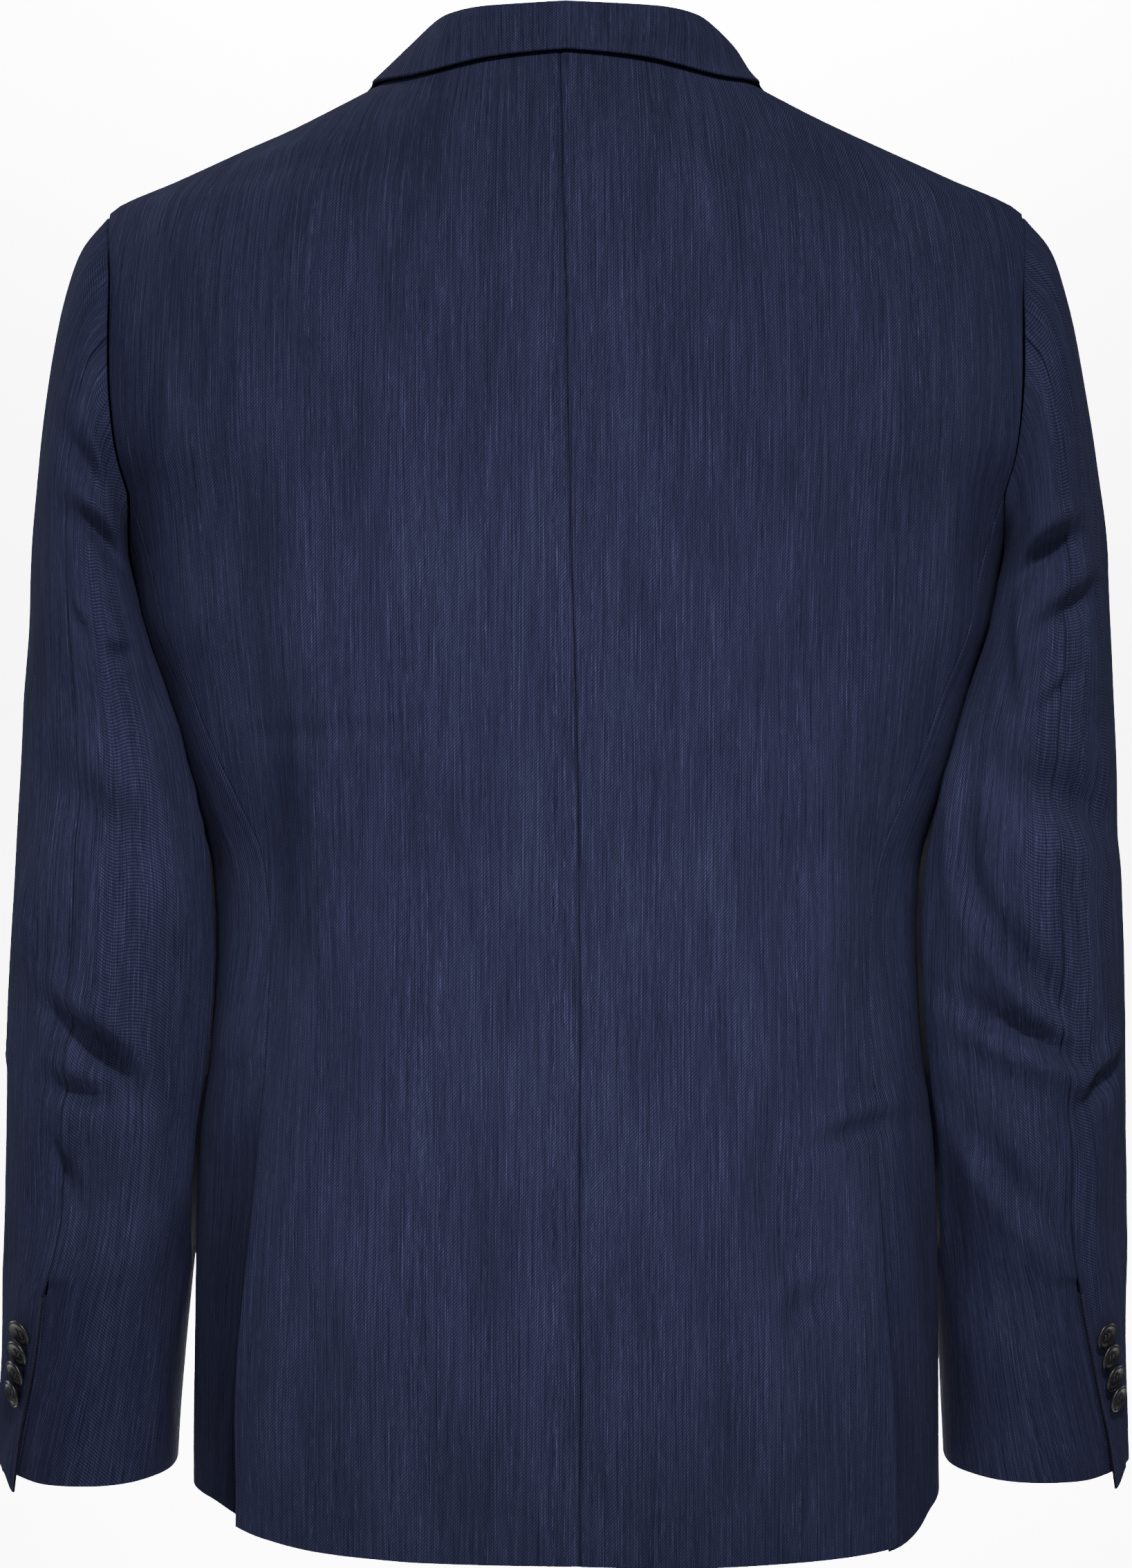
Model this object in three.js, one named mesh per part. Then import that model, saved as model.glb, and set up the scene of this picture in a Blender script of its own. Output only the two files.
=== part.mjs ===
// A two-button suit jacket of navy twill, in the hollow form that it has when it is worn.
// Millimetres. +X is the wearer's left, +Y the back and +Z up. The origin lies between the
// shoulders, level with the neck, where the wearer holds the jacket up.
import * as THREE from 'three';

// Cloth and seams
const WALL = 2;
const GAP = 0.3;
const LAP = 2.6; // how far a layer lies above the one under it

// Lengths of the jacket
const HEM = -729;
const HEM_FADE = -600; // above this height the rows of cloth are level
const SHOULDER_TIP = -59;
const NECK_POINT = 18;
const NAPE = 17;
const ARMHOLE_CORNER = -205; // where the side body's seams meet the armhole
const UNDERARM = -240;
const SEAMS_TURN = -330; // height at which the side seams turn towards the armhole's corners
const UNDERARM_FADE = -275; // below this height the side body's rows are level again

// The lapels' roll line, from the gorge down to the top button
const GORGE = { x: 64, z: -25 };
const BREAK = { x: -20, z: -352 };

// Buttons
const CUFF_BUTTON = { radius: 7.4, thick: 2.6, lean: 17 };
const FRONT_BUTTON = { radius: 10, thick: 3 };
const FRONT_BUTTON_HEIGHTS = { top: -368, low: -468 };

// Finishes
const TWILL = { color: 0x303650, roughness: 0.92, metalness: 0 };
const HORN = { color: 0x26262b, roughness: 0.45, metalness: 0 };

// Level sections of the body. half: half the width. back, front: depths. bend: the
// superellipse's power, where 2 is an ellipse and less is leaner at the shoulder ridge.
const RINGS = [
  { z: -729, half: 191, back: 112, front: 130, bend: 2.4 },
  { z: -660, half: 190.5, back: 109, front: 128, bend: 2.4 },
  { z: -600, half: 190, back: 104, front: 126, bend: 2.35 },
  { z: -530, half: 187.5, back: 97, front: 123, bend: 2.3 },
  { z: -485, half: 182.5, back: 94, front: 121, bend: 2.3 },
  { z: -430, half: 180.5, back: 92, front: 121, bend: 2.3 },
  { z: -395, half: 182, back: 95, front: 123, bend: 2.3 },
  { z: -360, half: 190, back: 102, front: 125, bend: 2.35 },
  { z: -330, half: 198, back: 107, front: 126, bend: 2.4 },
  { z: -300, half: 206, back: 111, front: 127, bend: 2.4 },
  { z: -270, half: 216, back: 114, front: 126, bend: 2.4 },
  { z: -240, half: 221, back: 116, front: 125, bend: 2.4 },
  { z: -205, half: 230, back: 119, front: 123, bend: 2.4 },
  { z: -180, half: 243, back: 120, front: 121, bend: 2.4 },
  { z: -150, half: 250, back: 120, front: 117, bend: 2.3 },
  { z: -115, half: 251, back: 117, front: 110, bend: 2.1 },
  { z: -85, half: 247, back: 113, front: 101, bend: 1.85 },
  { z: -59, half: 233, back: 109, front: 92, bend: 1.6 },
  { z: -41, half: 196, back: 104, front: 82, bend: 1.5 },
  { z: -27, half: 165, back: 100, front: 77, bend: 1.5 },
  { z: -13, half: 134, back: 95, front: 70, bend: 1.5 },
  { z: 1, half: 106, back: 90, front: 62, bend: 1.55 },
  { z: 10, half: 88, back: 82, front: 54, bend: 1.6 },
  { z: 18, half: 72, back: 74, front: 46, bend: 1.6 },
  { z: 24, half: 62, back: 66, front: 40, bend: 1.6 },
];

// The hem's height round the body's left and right, by the angle from the centre back.
const HEM_LINE = [
  { angle: 0, left: -730, right: -730 },
  { angle: 34, left: -729, right: -731.5 },
  { angle: 42, left: -728, right: -731.2 },
  { angle: 53, left: -726, right: -730.6 },
  { angle: 63, left: -721.2, right: -729.4 },
  { angle: 70, left: -715.5, right: -726.8 },
  { angle: 75, left: -711.5, right: -721.5 },
  { angle: 80, left: -708.8, right: -713.5 },
  { angle: 92, left: -707.5, right: -708.5 },
  { angle: 108, left: -715, right: -715 },
  { angle: 124, left: -726, right: -726 },
  { angle: 140, left: -731, right: -731 },
  { angle: 180, left: -731, right: -731 },
];

// Seams of the body. vent: the side back seam, by its angle. dart: the front's side seam.
const BODY_SEAMS = [
  { z: -729, vent: 67.5, dart: 110 },
  { z: -600, vent: 68, dart: 109 },
  { z: -482, vent: 70, dart: 108 },
  { z: -400, vent: 72, dart: 108 },
  { z: -300, vent: 75, dart: 110 },
  { z: -205, vent: 78, dart: 110 },
];
const CENTRE_SEAM = [
  { z: -729, x: -7 },
  { z: -400, x: -6.5 },
  { z: -230, x: -2.5 },
  { z: 10, x: 3 },
];
const VENT_TOP = { left: -482, right: -510 };
const VENT_LAP = { left: 9, right: 4 }; // how deep the underlap lies at the hem
const VENT_STRIPS = [6, 11]; // degrees that the underlap reaches under the back

// The armhole's edge, seen from the back and from the front.
const ARMHOLE = [
  { z: -205, back: 219, front: 214 },
  { z: -185, back: 224, front: 209 },
  { z: -165, back: 226.5, front: 207 },
  { z: -145, back: 228, front: 208 },
  { z: -127, back: 228.5, front: 210.5 },
  { z: -105, back: 229, front: 214.5 },
  { z: -85, back: 230.5, front: 221 },
  { z: -59, back: 233, front: 233 },
];

// The fronts' edge below the top button, seen from the front.
const FRONT_EDGE = [
  { z: -729, x: 110 },
  { z: -717, x: 84 },
  { z: -697, x: 60 },
  { z: -665, x: 34 },
  { z: -630, x: 12 },
  { z: -595, x: -4 },
  { z: -560, x: -13 },
  { z: -520, x: -19 },
  { z: -482, x: -20 },
  { z: -352, x: -20 },
];
const FRONT_NECKLINE = [
  { z: -25, x: 64 },
  { z: 1, x: 68.5 },
  { z: 15, x: 71 },
];

// Heights of the rows of cloth, hem to neck.
const ROWS = [
  -729, -717, -697, -665, -630, -595, -560, -535, -510, -482, -455, -425, -395, -365, -335, -305,
  -275, -245, -225, -205, -185, -165, -145, -127, -105, -85, -59, -41, -25, -13, 1, 18,
];

// Sections of the left sleeve, armhole to cuff. Each lies in a plane that is level from back to
// front: outX, outZ is its outer end, inX, inZ its inner end, midY its centre, half its half
// depth. tip: how much lower its back is, for each mm. turn: degrees that the back seam moves out.
const SLEEVE = [
  { outX: 233, outZ: -59, inX: 220, inZ: -240, midY: -7, half: 69, tip: 0, turn: 0 },
  { outX: 247, outZ: -77, inX: 219, inZ: -244, midY: -5, half: 70, tip: 0, turn: 0 },
  { outX: 256, outZ: -104, inX: 217, inZ: -249, midY: -3, half: 71, tip: 0, turn: 0 },
  { outX: 264, outZ: -139, inX: 214, inZ: -256, midY: -1, half: 71, tip: 0, turn: -2 },
  { outX: 271, outZ: -182, inX: 210, inZ: -265, midY: 1, half: 70, tip: 0, turn: -2 },
  { outX: 276, outZ: -228, inX: 205, inZ: -279, midY: 3, half: 68, tip: 0, turn: 0 },
  { outX: 279, outZ: -272, inX: 198, inZ: -299, midY: 5, half: 66, tip: 0, turn: 2 },
  { outX: 281, outZ: -315, inX: 187, inZ: -326, midY: 7, half: 64, tip: 0, turn: 2 },
  { outX: 282, outZ: -357, inX: 179.5, inZ: -360, midY: 8, half: 62, tip: 0, turn: 0 },
  { outX: 283.5, outZ: -398, inX: 175, inZ: -398, midY: 8, half: 61, tip: 0.02, turn: -1 },
  { outX: 285, outZ: -440, inX: 173, inZ: -440, midY: 5, half: 60, tip: 0.06, turn: -3 },
  { outX: 286, outZ: -482, inX: 176, inZ: -482, midY: 0, half: 58, tip: 0.1, turn: -4 },
  { outX: 286, outZ: -522, inX: 180.5, inZ: -522, midY: -7, half: 56, tip: 0.13, turn: -4 },
  { outX: 286, outZ: -558, inX: 185, inZ: -558, midY: -13, half: 54, tip: 0.14, turn: -3 },
  { outX: 286.5, outZ: -584, inX: 189, inZ: -584, midY: -17, half: 53, tip: 0.14, turn: -5 },
  { outX: 287, outZ: -600, inX: 190.5, inZ: -600, midY: -20, half: 52, tip: 0.14, turn: -9 },
  { outX: 287.5, outZ: -640, inX: 194, inZ: -640, midY: -26, half: 51, tip: 0.14, turn: -17 },
  { outX: 288, outZ: -672, inX: 196.5, inZ: -672, midY: -31, half: 50, tip: 0.14, turn: -25 },
  { outX: 288, outZ: -700, inX: 198, inZ: -700, midY: -35, half: 50, tip: 0.14, turn: -34 },
];
// How far out each sleeve's outer and inner end lie from their sections.
const SLEEVE_SWING = [
  { at: 0, leftOut: 0, leftIn: 0, rightOut: 0, rightIn: 0 },
  { at: 2, leftOut: -0.7, leftIn: 0, rightOut: 0, rightIn: 0 },
  { at: 3, leftOut: -2, leftIn: 0, rightOut: -0.4, rightIn: 0 },
  { at: 4, leftOut: -3.4, leftIn: 0, rightOut: -0.4, rightIn: 0 },
  { at: 5, leftOut: -5.2, leftIn: 0, rightOut: -0.4, rightIn: 0 },
  { at: 6, leftOut: -6, leftIn: 0, rightOut: -0.8, rightIn: 0 },
  { at: 7, leftOut: -5.4, leftIn: 0, rightOut: -0.6, rightIn: 0 },
  { at: 8, leftOut: -4.3, leftIn: 0, rightOut: 0, rightIn: 0 },
  { at: 9, leftOut: -3.2, leftIn: 0, rightOut: -0.2, rightIn: 0 },
  { at: 10, leftOut: -2, leftIn: 0, rightOut: 0.3, rightIn: 0 },
  { at: 11, leftOut: -1, leftIn: 0, rightOut: 1.2, rightIn: 0 },
  { at: 12, leftOut: 0.6, leftIn: 0, rightOut: 2.3, rightIn: 0 },
  { at: 13, leftOut: 1.7, leftIn: 0.4, rightOut: 2.8, rightIn: 0 },
  { at: 15, leftOut: 2.8, leftIn: 1.5, rightOut: 2.8, rightIn: 0 },
  { at: 16, leftOut: 3.8, leftIn: 2.2, rightOut: 3.3, rightIn: -0.5 },
  { at: 17, leftOut: 4.9, leftIn: 2.8, rightOut: 4.2, rightIn: -1 },
  { at: 18, leftOut: 5.5, leftIn: 3.4, rightOut: 5.2, rightIn: -1 },
];
const SLEEVE_BEND = 2.15;
const SLEEVE_FIT = [1, 0.62, 0.34, 0.16, 0.06, 0]; // how much each section keeps of the armhole
const SLEEVE_CLEAR = 1.8; // between sleeve and body
const RIGHT_SLEEVE_FORWARD = 12; // how much further forward the right sleeve hangs
const BACK_SEAM_ROW = -127; // where the sleeve's seams leave the armhole
const FRONT_SEAM_ROW = -185;
const CUFF_VENT_SECTION = 15; // first section whose underlap lies under the top sleeve
const CUFF_LAP_TURNS = [12, 24]; // degrees that the underlap reaches under the top sleeve
const CUFF_CORNER = { drop: 8, wide: 0.2 }; // how far the vent's corner hangs down, and over which laps

// Largest folds of the back. deep: how far in, or out where below nought. lean: the angle of
// its run from upright, in degrees.
const BODY_FOLDS = [
  { x: -126, z: -255, deep: 4, wide: 34, run: 60, lean: 10 },
  { x: -112, z: -575, deep: 3.5, wide: 18, run: 50, lean: -12 },
  { x: -150, z: -516, deep: 2.5, wide: 10, run: 24, lean: 70 },
  { x: 147, z: -610, deep: -2.5, wide: 15, run: 90, lean: 4 },
  { x: 100, z: -610, deep: -2, wide: 16, run: 90, lean: 2 },
  { x: 120, z: -325, deep: 1.6, wide: 9, run: 50, lean: 86 },
];
// Largest folds of the sleeves. turn: degrees round the section from its outer end to the back.
const SLEEVE_FOLDS = [
  { side: 1, turn: 92, z: -193, deep: 4, wide: 9, run: 24, lean: 50 },
  { side: 1, turn: 107, z: -226, deep: 5, wide: 9, run: 25, lean: 64 },
  { side: 1, turn: 90, z: -367, deep: 4, wide: 14, run: 34, lean: 56 },
  { side: 1, turn: 90, z: -481, deep: 6, wide: 10, run: 30, lean: 50 },
  { side: 1, turn: 83, z: -504, deep: 2.5, wide: 8, run: 20, lean: 76 },
  { side: -1, turn: 90, z: -233, deep: 6, wide: 9, run: 24, lean: 70 },
  { side: -1, turn: 69, z: -261, deep: 3.5, wide: 9, run: 24, lean: 69 },
  { side: -1, turn: 70, z: -357, deep: 5, wide: 14, run: 38, lean: -73 },
  { side: -1, turn: 93, z: -438, deep: 4.5, wide: 10, run: 38, lean: -37 },
  { side: -1, turn: 90, z: -476, deep: 4.5, wide: 9, run: 32, lean: -65 },
  { side: -1, turn: 48, z: -500, deep: 3.5, wide: 9, run: 24, lean: 60 },
];

// The collar's stations, centre back to gorge: where the stand is sewn on, the fold at its top,
// and the leaf's edge. Angles and heights are on the body's form, and fold is a point.
const COLLAR = [
  { at: 0, seamAngle: 0, seamZ: 18, foldX: 0, foldY: 70, foldZ: 38, edgeAngle: 0, edgeZ: 9.5 },
  { at: 1, seamAngle: 35, seamZ: 18.2, foldX: 38, foldY: 62, foldZ: 37, edgeAngle: 29, edgeZ: 7 },
  { at: 2, seamAngle: 64, seamZ: 18.6, foldX: 59, foldY: 38, foldZ: 37, edgeAngle: 60, edgeZ: 2 },
  { at: 3, seamAngle: 90, seamZ: 19, foldX: 69, foldY: 4, foldZ: 35, edgeAngle: 90, edgeZ: 5 },
  { at: 4, seamAngle: 112, seamZ: 9, foldX: 70, foldY: -27, foldZ: 22, edgeAngle: 100, edgeZ: -9 },
  { at: 5, seamAngle: 124, seamZ: -8, foldX: 67, foldY: -50, foldZ: 0, edgeAngle: 105, edgeZ: -22 },
  { at: 6, seamAngle: 134, seamZ: -25, foldX: 62, foldY: -70, foldZ: -22, edgeAngle: 108.5, edgeZ: -31 },
];
const NOTCH = { x: 103, z: -53 };
const LAPEL_CORNER = { x: 137, z: -77 };
const GORGE_GAP = 1.1; // from the lapel up to the collar, which the lapel's trim adds to
const LAPEL_BELLY = 17; // how far the lapel's edge bows out from a straight line

// Pockets, on the body's form: a flap on each hip and a welt on the left chest.
const FLAP = { fromAngle: 153, toAngle: 103, top: -507, deep: 54, slant: 6 };
const WELT = { fromX: 101, toX: 180, bottom: -204, deep: 23, slant: 13 };

const rad = THREE.MathUtils.degToRad;
const deg = THREE.MathUtils.radToDeg;

// The value of a table's column, on a curve through its rows that never overshoots them.
function read(rows, key, at, by = 'z') {
  const last = rows.length - 1;
  if (at <= rows[0][by]) return rows[0][key];
  if (at >= rows[last][by]) return rows[last][key];
  let i = 0;
  while (rows[i + 1][by] < at) i += 1;
  const secant = (k) => (rows[k + 1][key] - rows[k][key]) / (rows[k + 1][by] - rows[k][by]);
  const slope = (k) => {
    if (k === 0) return secant(0);
    if (k === last) return secant(last - 1);
    const [below, above] = [secant(k - 1), secant(k)];
    return below * above > 0 ? (2 * below * above) / (below + above) : 0;
  };
  const span = rows[i + 1][by] - rows[i][by];
  const t = (at - rows[i][by]) / span;
  const share = t * t * (3 - 2 * t);
  return rows[i][key] * (1 - share) + rows[i + 1][key] * share
    + span * (t * (1 - t) * (1 - t) * slope(i) - t * t * (1 - t) * slope(i + 1));
}

// 0 at from, 1 at to and beyond, with a soft start and end. from may be the higher of the two.
function ease(from, to, at) {
  return THREE.MathUtils.smoothstep((at - from) / (to - from), 0, 1);
}

// How far a table of folds pushes a point in: each is a soft trough, Gaussian across and along.
function foldDepth(folds, across, z) {
  return folds.reduce((sum, f) => {
    const [dx, dz] = [across - f.x, z - f.z];
    const lean = rad(f.lean);
    const side = dx * Math.cos(lean) + dz * Math.sin(lean);
    const down = dz * Math.cos(lean) - dx * Math.sin(lean);
    return sum + f.deep * Math.exp(-((side / f.wide) ** 2) - (down / f.run) ** 2);
  }, 0);
}

// The body's form without folds, by the angle from the centre back and the height.
function bodyPoint(angle, z) {
  const [s, c] = [Math.sin(rad(angle)), Math.cos(rad(angle))];
  const bend = read(RINGS, 'bend', z);
  const depth = read(RINGS, c >= 0 ? 'back' : 'front', z);
  const reach = (Math.abs(s) / read(RINGS, 'half', z)) ** bend + (Math.abs(c) / depth) ** bend;
  const r = reach ** (-1 / bend);
  return new THREE.Vector3(r * s, r * c, z);
}

// The outward normal of the body's form, from points a little to each side.
function bodyNormal(angle, z) {
  const along = bodyPoint(angle + 2, z).sub(bodyPoint(angle - 2, z));
  const up = bodyPoint(angle, z + 3).sub(bodyPoint(angle, z - 3));
  return up.cross(along).normalize();
}

// The angle of the body's point that lies at x, on the back or on the front.
function angleAt(x, z, front = false) {
  const bend = read(RINGS, 'bend', z);
  const share = Math.min(1, Math.abs(x) / read(RINGS, 'half', z));
  const y = read(RINGS, front ? 'front' : 'back', z) * (1 - share ** bend) ** (1 / bend);
  const angle = deg(Math.atan2(x, front ? -y : y));
  return front && angle < 0 ? angle + 360 : angle;
}

// The real height of a row: near the hem the rows follow the hem's line.
function rowHeight(which, row, angle) {
  const share = THREE.MathUtils.clamp((HEM_FADE - row) / (HEM_FADE - HEM), 0, 1);
  const low = read(HEM_LINE, which > 0 ? 'left' : 'right', Math.abs(angle), 'angle');
  return row + (low - HEM) * share;
}

// A wall between a grid of outer points and the grid of inner points, closed at its edges.
// Cells that keep() leaves out are open.
function wall(name, grid, finish = TWILL, keep = () => true) {
  const columns = grid[0].length;
  const points = [];
  const faces = [];
  const directed = new Map();
  for (const row of grid) for (const cell of row) points.push(cell.outer, cell.inner);
  const outer = (i, j) => 2 * (i * columns + j);
  const add = (a, b, c) => {
    faces.push(a, b, c, a + 1, c + 1, b + 1);
    for (const [p, q] of [[a, b], [b, c], [c, a]]) directed.set(`${p},${q}`, [p, q]);
  };
  for (let i = 0; i + 1 < grid.length; i += 1) {
    for (let j = 0; j + 1 < columns; j += 1) {
      if (!keep(i, j)) continue;
      const [a, b, c, d] = [outer(i, j), outer(i, j + 1), outer(i + 1, j + 1), outer(i + 1, j)];
      add(a, b, c);
      add(a, c, d);
    }
  }
  for (const [p, q] of directed.values()) {
    if (!directed.has(`${q},${p}`)) faces.push(q, p, p + 1, q, p + 1, q + 1);
  }
  return solid(name, points, faces, finish);
}

// A named mesh of the points that its faces use, turned so that the faces point out.
function solid(name, points, faces, finish) {
  const volume = (f) => {
    let sum = 0;
    for (let i = 0; i < f.length; i += 3) {
      sum += points[f[i]].dot(points[f[i + 1]].clone().cross(points[f[i + 2]]));
    }
    return sum;
  };
  const turned = volume(faces) < 0 ? faces.slice().reverse() : faces;
  const used = [...new Set(turned)];
  const place = new Map(used.map((old, at) => [old, at]));
  const geometry = new THREE.BufferGeometry();
  geometry.setAttribute(
    'position',
    new THREE.Float32BufferAttribute(used.flatMap((i) => points[i].toArray()), 3),
  );
  geometry.setIndex(turned.map((i) => place.get(i)));
  geometry.computeVertexNormals();
  const mesh = new THREE.Mesh(geometry, new THREE.MeshStandardMaterial(finish));
  mesh.name = name;
  return mesh;
}

// Moves a grid's edge into the piece by amount. edge is first or last, across columns or rows.
function trim(grid, across, edge, amount = GAP / 2, only = () => true) {
  const cell = (i, j) => (across === 'columns' ? grid[i][j] : grid[j][i]);
  const count = across === 'columns' ? grid.length : grid[0].length;
  const size = across === 'columns' ? grid[0].length : grid.length;
  const [at, next] = edge === 'first' ? [0, 1] : [size - 1, size - 2];
  for (let i = 0; i < count; i += 1) {
    if (!only(i)) continue;
    const [here, inside] = [cell(i, at), cell(i, next)];
    const step = inside.outer.clone().sub(here.outer).normalize().multiplyScalar(amount);
    here.outer.add(step);
    here.inner.add(step);
  }
}

// A grid of outer points with each inner point WALL behind it, along the grid's own normals.
function backed(points, thick = WALL, flip = 1) {
  const pick = (i, j) => points[Math.min(Math.max(i, 0), points.length - 1)][
    Math.min(Math.max(j, 0), points[0].length - 1)];
  return points.map((row, i) => row.map((p, j) => {
    const along = pick(i, j + 1).clone().sub(pick(i, j - 1));
    const up = pick(i + 1, j).clone().sub(pick(i - 1, j));
    const n = up.cross(along).normalize().multiplyScalar(flip);
    return { outer: p.clone(), inner: p.clone().addScaledVector(n, -thick) };
  }));
}

// The armhole as one ring of points: down its back edge, under the arm and up its front edge.
// Each has the body's normal there. lap is the ring's own measure: 0 to 1 down the back, 1 to 2
// under the arm and 2 to 3 up the front.
function armholeSpot(lap) {
  if (lap <= 1 || lap >= 2) {
    const down = lap <= 1 ? lap : 3 - lap;
    const z = SHOULDER_TIP + (ARMHOLE_CORNER - SHOULDER_TIP) * down;
    const front = lap >= 2;
    return { angle: angleAt(read(ARMHOLE, front ? 'front' : 'back', z), z, front), z };
  }
  const back = angleAt(read(ARMHOLE, 'back', ARMHOLE_CORNER), ARMHOLE_CORNER);
  const front = angleAt(read(ARMHOLE, 'front', ARMHOLE_CORNER), ARMHOLE_CORNER, true);
  const share = lap - 1;
  return { angle: back + (front - back) * share, z: underarmHeight(share) };
}

// The armhole's height under the arm, share of the way from its back corner to its front one.
function underarmHeight(share) {
  return ARMHOLE_CORNER + (UNDERARM - ARMHOLE_CORNER) * Math.sin(Math.PI * share) ** 0.8;
}

const lapOfRow = (z) => (SHOULDER_TIP - z) / (SHOULDER_TIP - ARMHOLE_CORNER);
const SIDE_COLUMNS = 5;
const RING_LAPS = [
  ...ROWS.filter((z) => z <= SHOULDER_TIP && z >= ARMHOLE_CORNER).reverse().map(lapOfRow),
  ...Array.from({ length: SIDE_COLUMNS - 1 }, (_, k) => 1 + (k + 1) / SIDE_COLUMNS),
  ...ROWS.filter((z) => z < SHOULDER_TIP && z >= ARMHOLE_CORNER).map((z) => 3 - lapOfRow(z)),
];

// One section of the sleeve, at a whole or part number of sections down.
function section(at) {
  const rows = SLEEVE.map((row, i) => ({ ...row, i }));
  const keys = ['outX', 'outZ', 'inX', 'inZ', 'midY', 'half', 'tip', 'turn'];
  return Object.fromEntries(keys.map((key) => [key, read(rows, key, at, 'i')]));
}

function sectionPoint(s, turn) {
  const [c, v] = [Math.cos(rad(turn)), Math.sin(rad(turn))];
  const out = Math.sign(c) * Math.abs(c) ** (2 / SLEEVE_BEND);
  const back = Math.sign(v) * Math.abs(v) ** (2 / SLEEVE_BEND) * s.half;
  return new THREE.Vector3(
    (s.outX + s.inX) / 2 + (out * (s.outX - s.inX)) / 2,
    s.midY + back,
    (s.outZ + s.inZ) / 2 + (out * (s.outZ - s.inZ)) / 2 - s.tip * back,
  );
}

// The turn of an armhole point round the sleeve's first section.
function turnOf(p) {
  const s = SLEEVE[0];
  const axis = new THREE.Vector3(s.outX - s.inX, 0, s.outZ - s.inZ).multiplyScalar(0.5);
  const mid = new THREE.Vector3((s.outX + s.inX) / 2, s.midY, (s.outZ + s.inZ) / 2);
  const d = p.clone().sub(mid);
  const turn = deg(Math.atan2(d.y / s.half, d.dot(axis) / axis.lengthSq()));
  return turn < -90 ? turn + 360 : turn;
}

// A point of the left or right sleeve (side 1 or -1): sections down, and the lap of the armhole
// point that its thread starts from. more turns it further round.
function sleevePoint(side, at, lap, more = 0) {
  const spot = armholeSpot(lap);
  const start = bodyPoint(spot.angle, spot.z);
  let turn = turnOf(start);
  if (lap > 1.6 && turn < 90) turn += 360;
  const s = section(at);
  const key = side > 0 ? 'left' : 'right';
  s.outX += read(SLEEVE_SWING, `${key}Out`, at, 'at');
  s.inX += read(SLEEVE_SWING, `${key}In`, at, 'at');
  const seam = turnOf(bodyPoint(...Object.values(armholeSpot(lapOfRow(BACK_SEAM_ROW)))));
  const near = turn < seam ? turn / seam : Math.max(0, 1 - (turn - seam) / (180 - seam));
  s.midY -= side < 0 ? RIGHT_SLEEVE_FORWARD * ease(0, 6, at) : 0;
  const fitted = sectionPoint(s, turn + s.turn * Math.max(0, near) + more);
  const keep = read(SLEEVE_FIT.map((fit, i) => ({ fit, i })), 'fit', at, 'i');
  fitted.addScaledVector(start.clone().sub(sectionPoint(section(0), turn)), keep);
  const folds = SLEEVE_FOLDS.filter((f) => f.side === side);
  const arc = (f) => rad(turn - f.turn) * s.half;
  const deep = folds.reduce((sum, f) => sum + foldDepth([{ ...f, x: 0 }], arc(f), fitted.z), 0);
  const mid = new THREE.Vector3((s.outX + s.inX) / 2, s.midY, fitted.z);
  const inward = mid.sub(fitted).normalize();
  fitted.addScaledVector(inward, deep * ease(0, 2, at));
  const angle = deg(Math.atan2(fitted.x, fitted.y));
  const body = bodyPoint(angle, fitted.z);
  const clear = Math.hypot(body.x, body.y) + SLEEVE_CLEAR * Math.min(1, at);
  const reach = Math.hypot(fitted.x, fitted.y);
  if (at > 0 && reach < clear) {
    fitted.x *= clear / reach;
    fitted.y *= clear / reach;
  }
  return fitted;
}

// The sleeve's whole grid, section by section, each ring of points in the armhole's order.
function sleeveGrid(side, laps, sections) {
  return sections.map((at) => laps.map((lap) => sleevePoint(side, at, lap)));
}

const mirror = (grid, side) => {
  if (side > 0) return grid;
  for (const cell of grid.flat()) {
    cell.outer.x *= -1;
    cell.inner.x *= -1;
  }
  return grid;
};

// The two cloths that meet at an armhole point share one mitre where they bend outward. Where
// they fold together, as under the arm, each keeps its own square edge.
function seamInner(start, bodyN, sleeveN, sleeveWay) {
  const square = {
    body: bodyN.clone().multiplyScalar(-WALL),
    sleeve: sleeveN.clone().multiplyScalar(-WALL),
  };
  const bends = sleeveWay.dot(bodyN) < 0.15;
  if (!bends || bodyN.dot(sleeveN) < 0) return square;
  const middle = bodyN.clone().add(sleeveN).normalize();
  const shared = middle.multiplyScalar(-WALL / middle.dot(bodyN));
  return { body: shared, sleeve: shared.clone() };
}

const ARMHOLE_MIDDLE = new THREE.Vector3(226, -7, -150);

// The armhole's ring of points for one side, with what each side of the seam needs there.
function armholeRing(side) {
  const grid = sleeveGrid(side, RING_LAPS, [0, 0.5, 1]);
  const count = RING_LAPS.length;
  return RING_LAPS.map((lap, k) => {
    const spot = armholeSpot(lap);
    const round = grid[0][(k + 1) % count].clone().sub(grid[0][(k + count - 1) % count]);
    const way = grid[1][k].clone().sub(grid[0][k]).normalize();
    const sleeveN = way.clone().cross(round).normalize();
    if (sleeveN.dot(grid[0][k].clone().sub(ARMHOLE_MIDDLE)) < 0) sleeveN.negate();
    const bodyN = bodyNormal(spot.angle, spot.z);
    const inner = seamInner(grid[0][k], bodyN, sleeveN, way);
    return { lap, start: grid[0][k], shift: way.clone().add(bodyN).normalize(), ...inner };
  });
}

const RINGS_OF_SIDE = { 1: armholeRing(1), [-1]: armholeRing(-1) };

// Gives the armhole's shared points to the edge of a body panel.
function sewArmhole(cell, side, lap) {
  const spot = RINGS_OF_SIDE[side].find((r) => Math.abs(r.lap - lap) < 1e-6);
  if (spot) {
    cell.outer.copy(spot.start);
    cell.inner.copy(spot.start).add(spot.body);
  }
}

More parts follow.
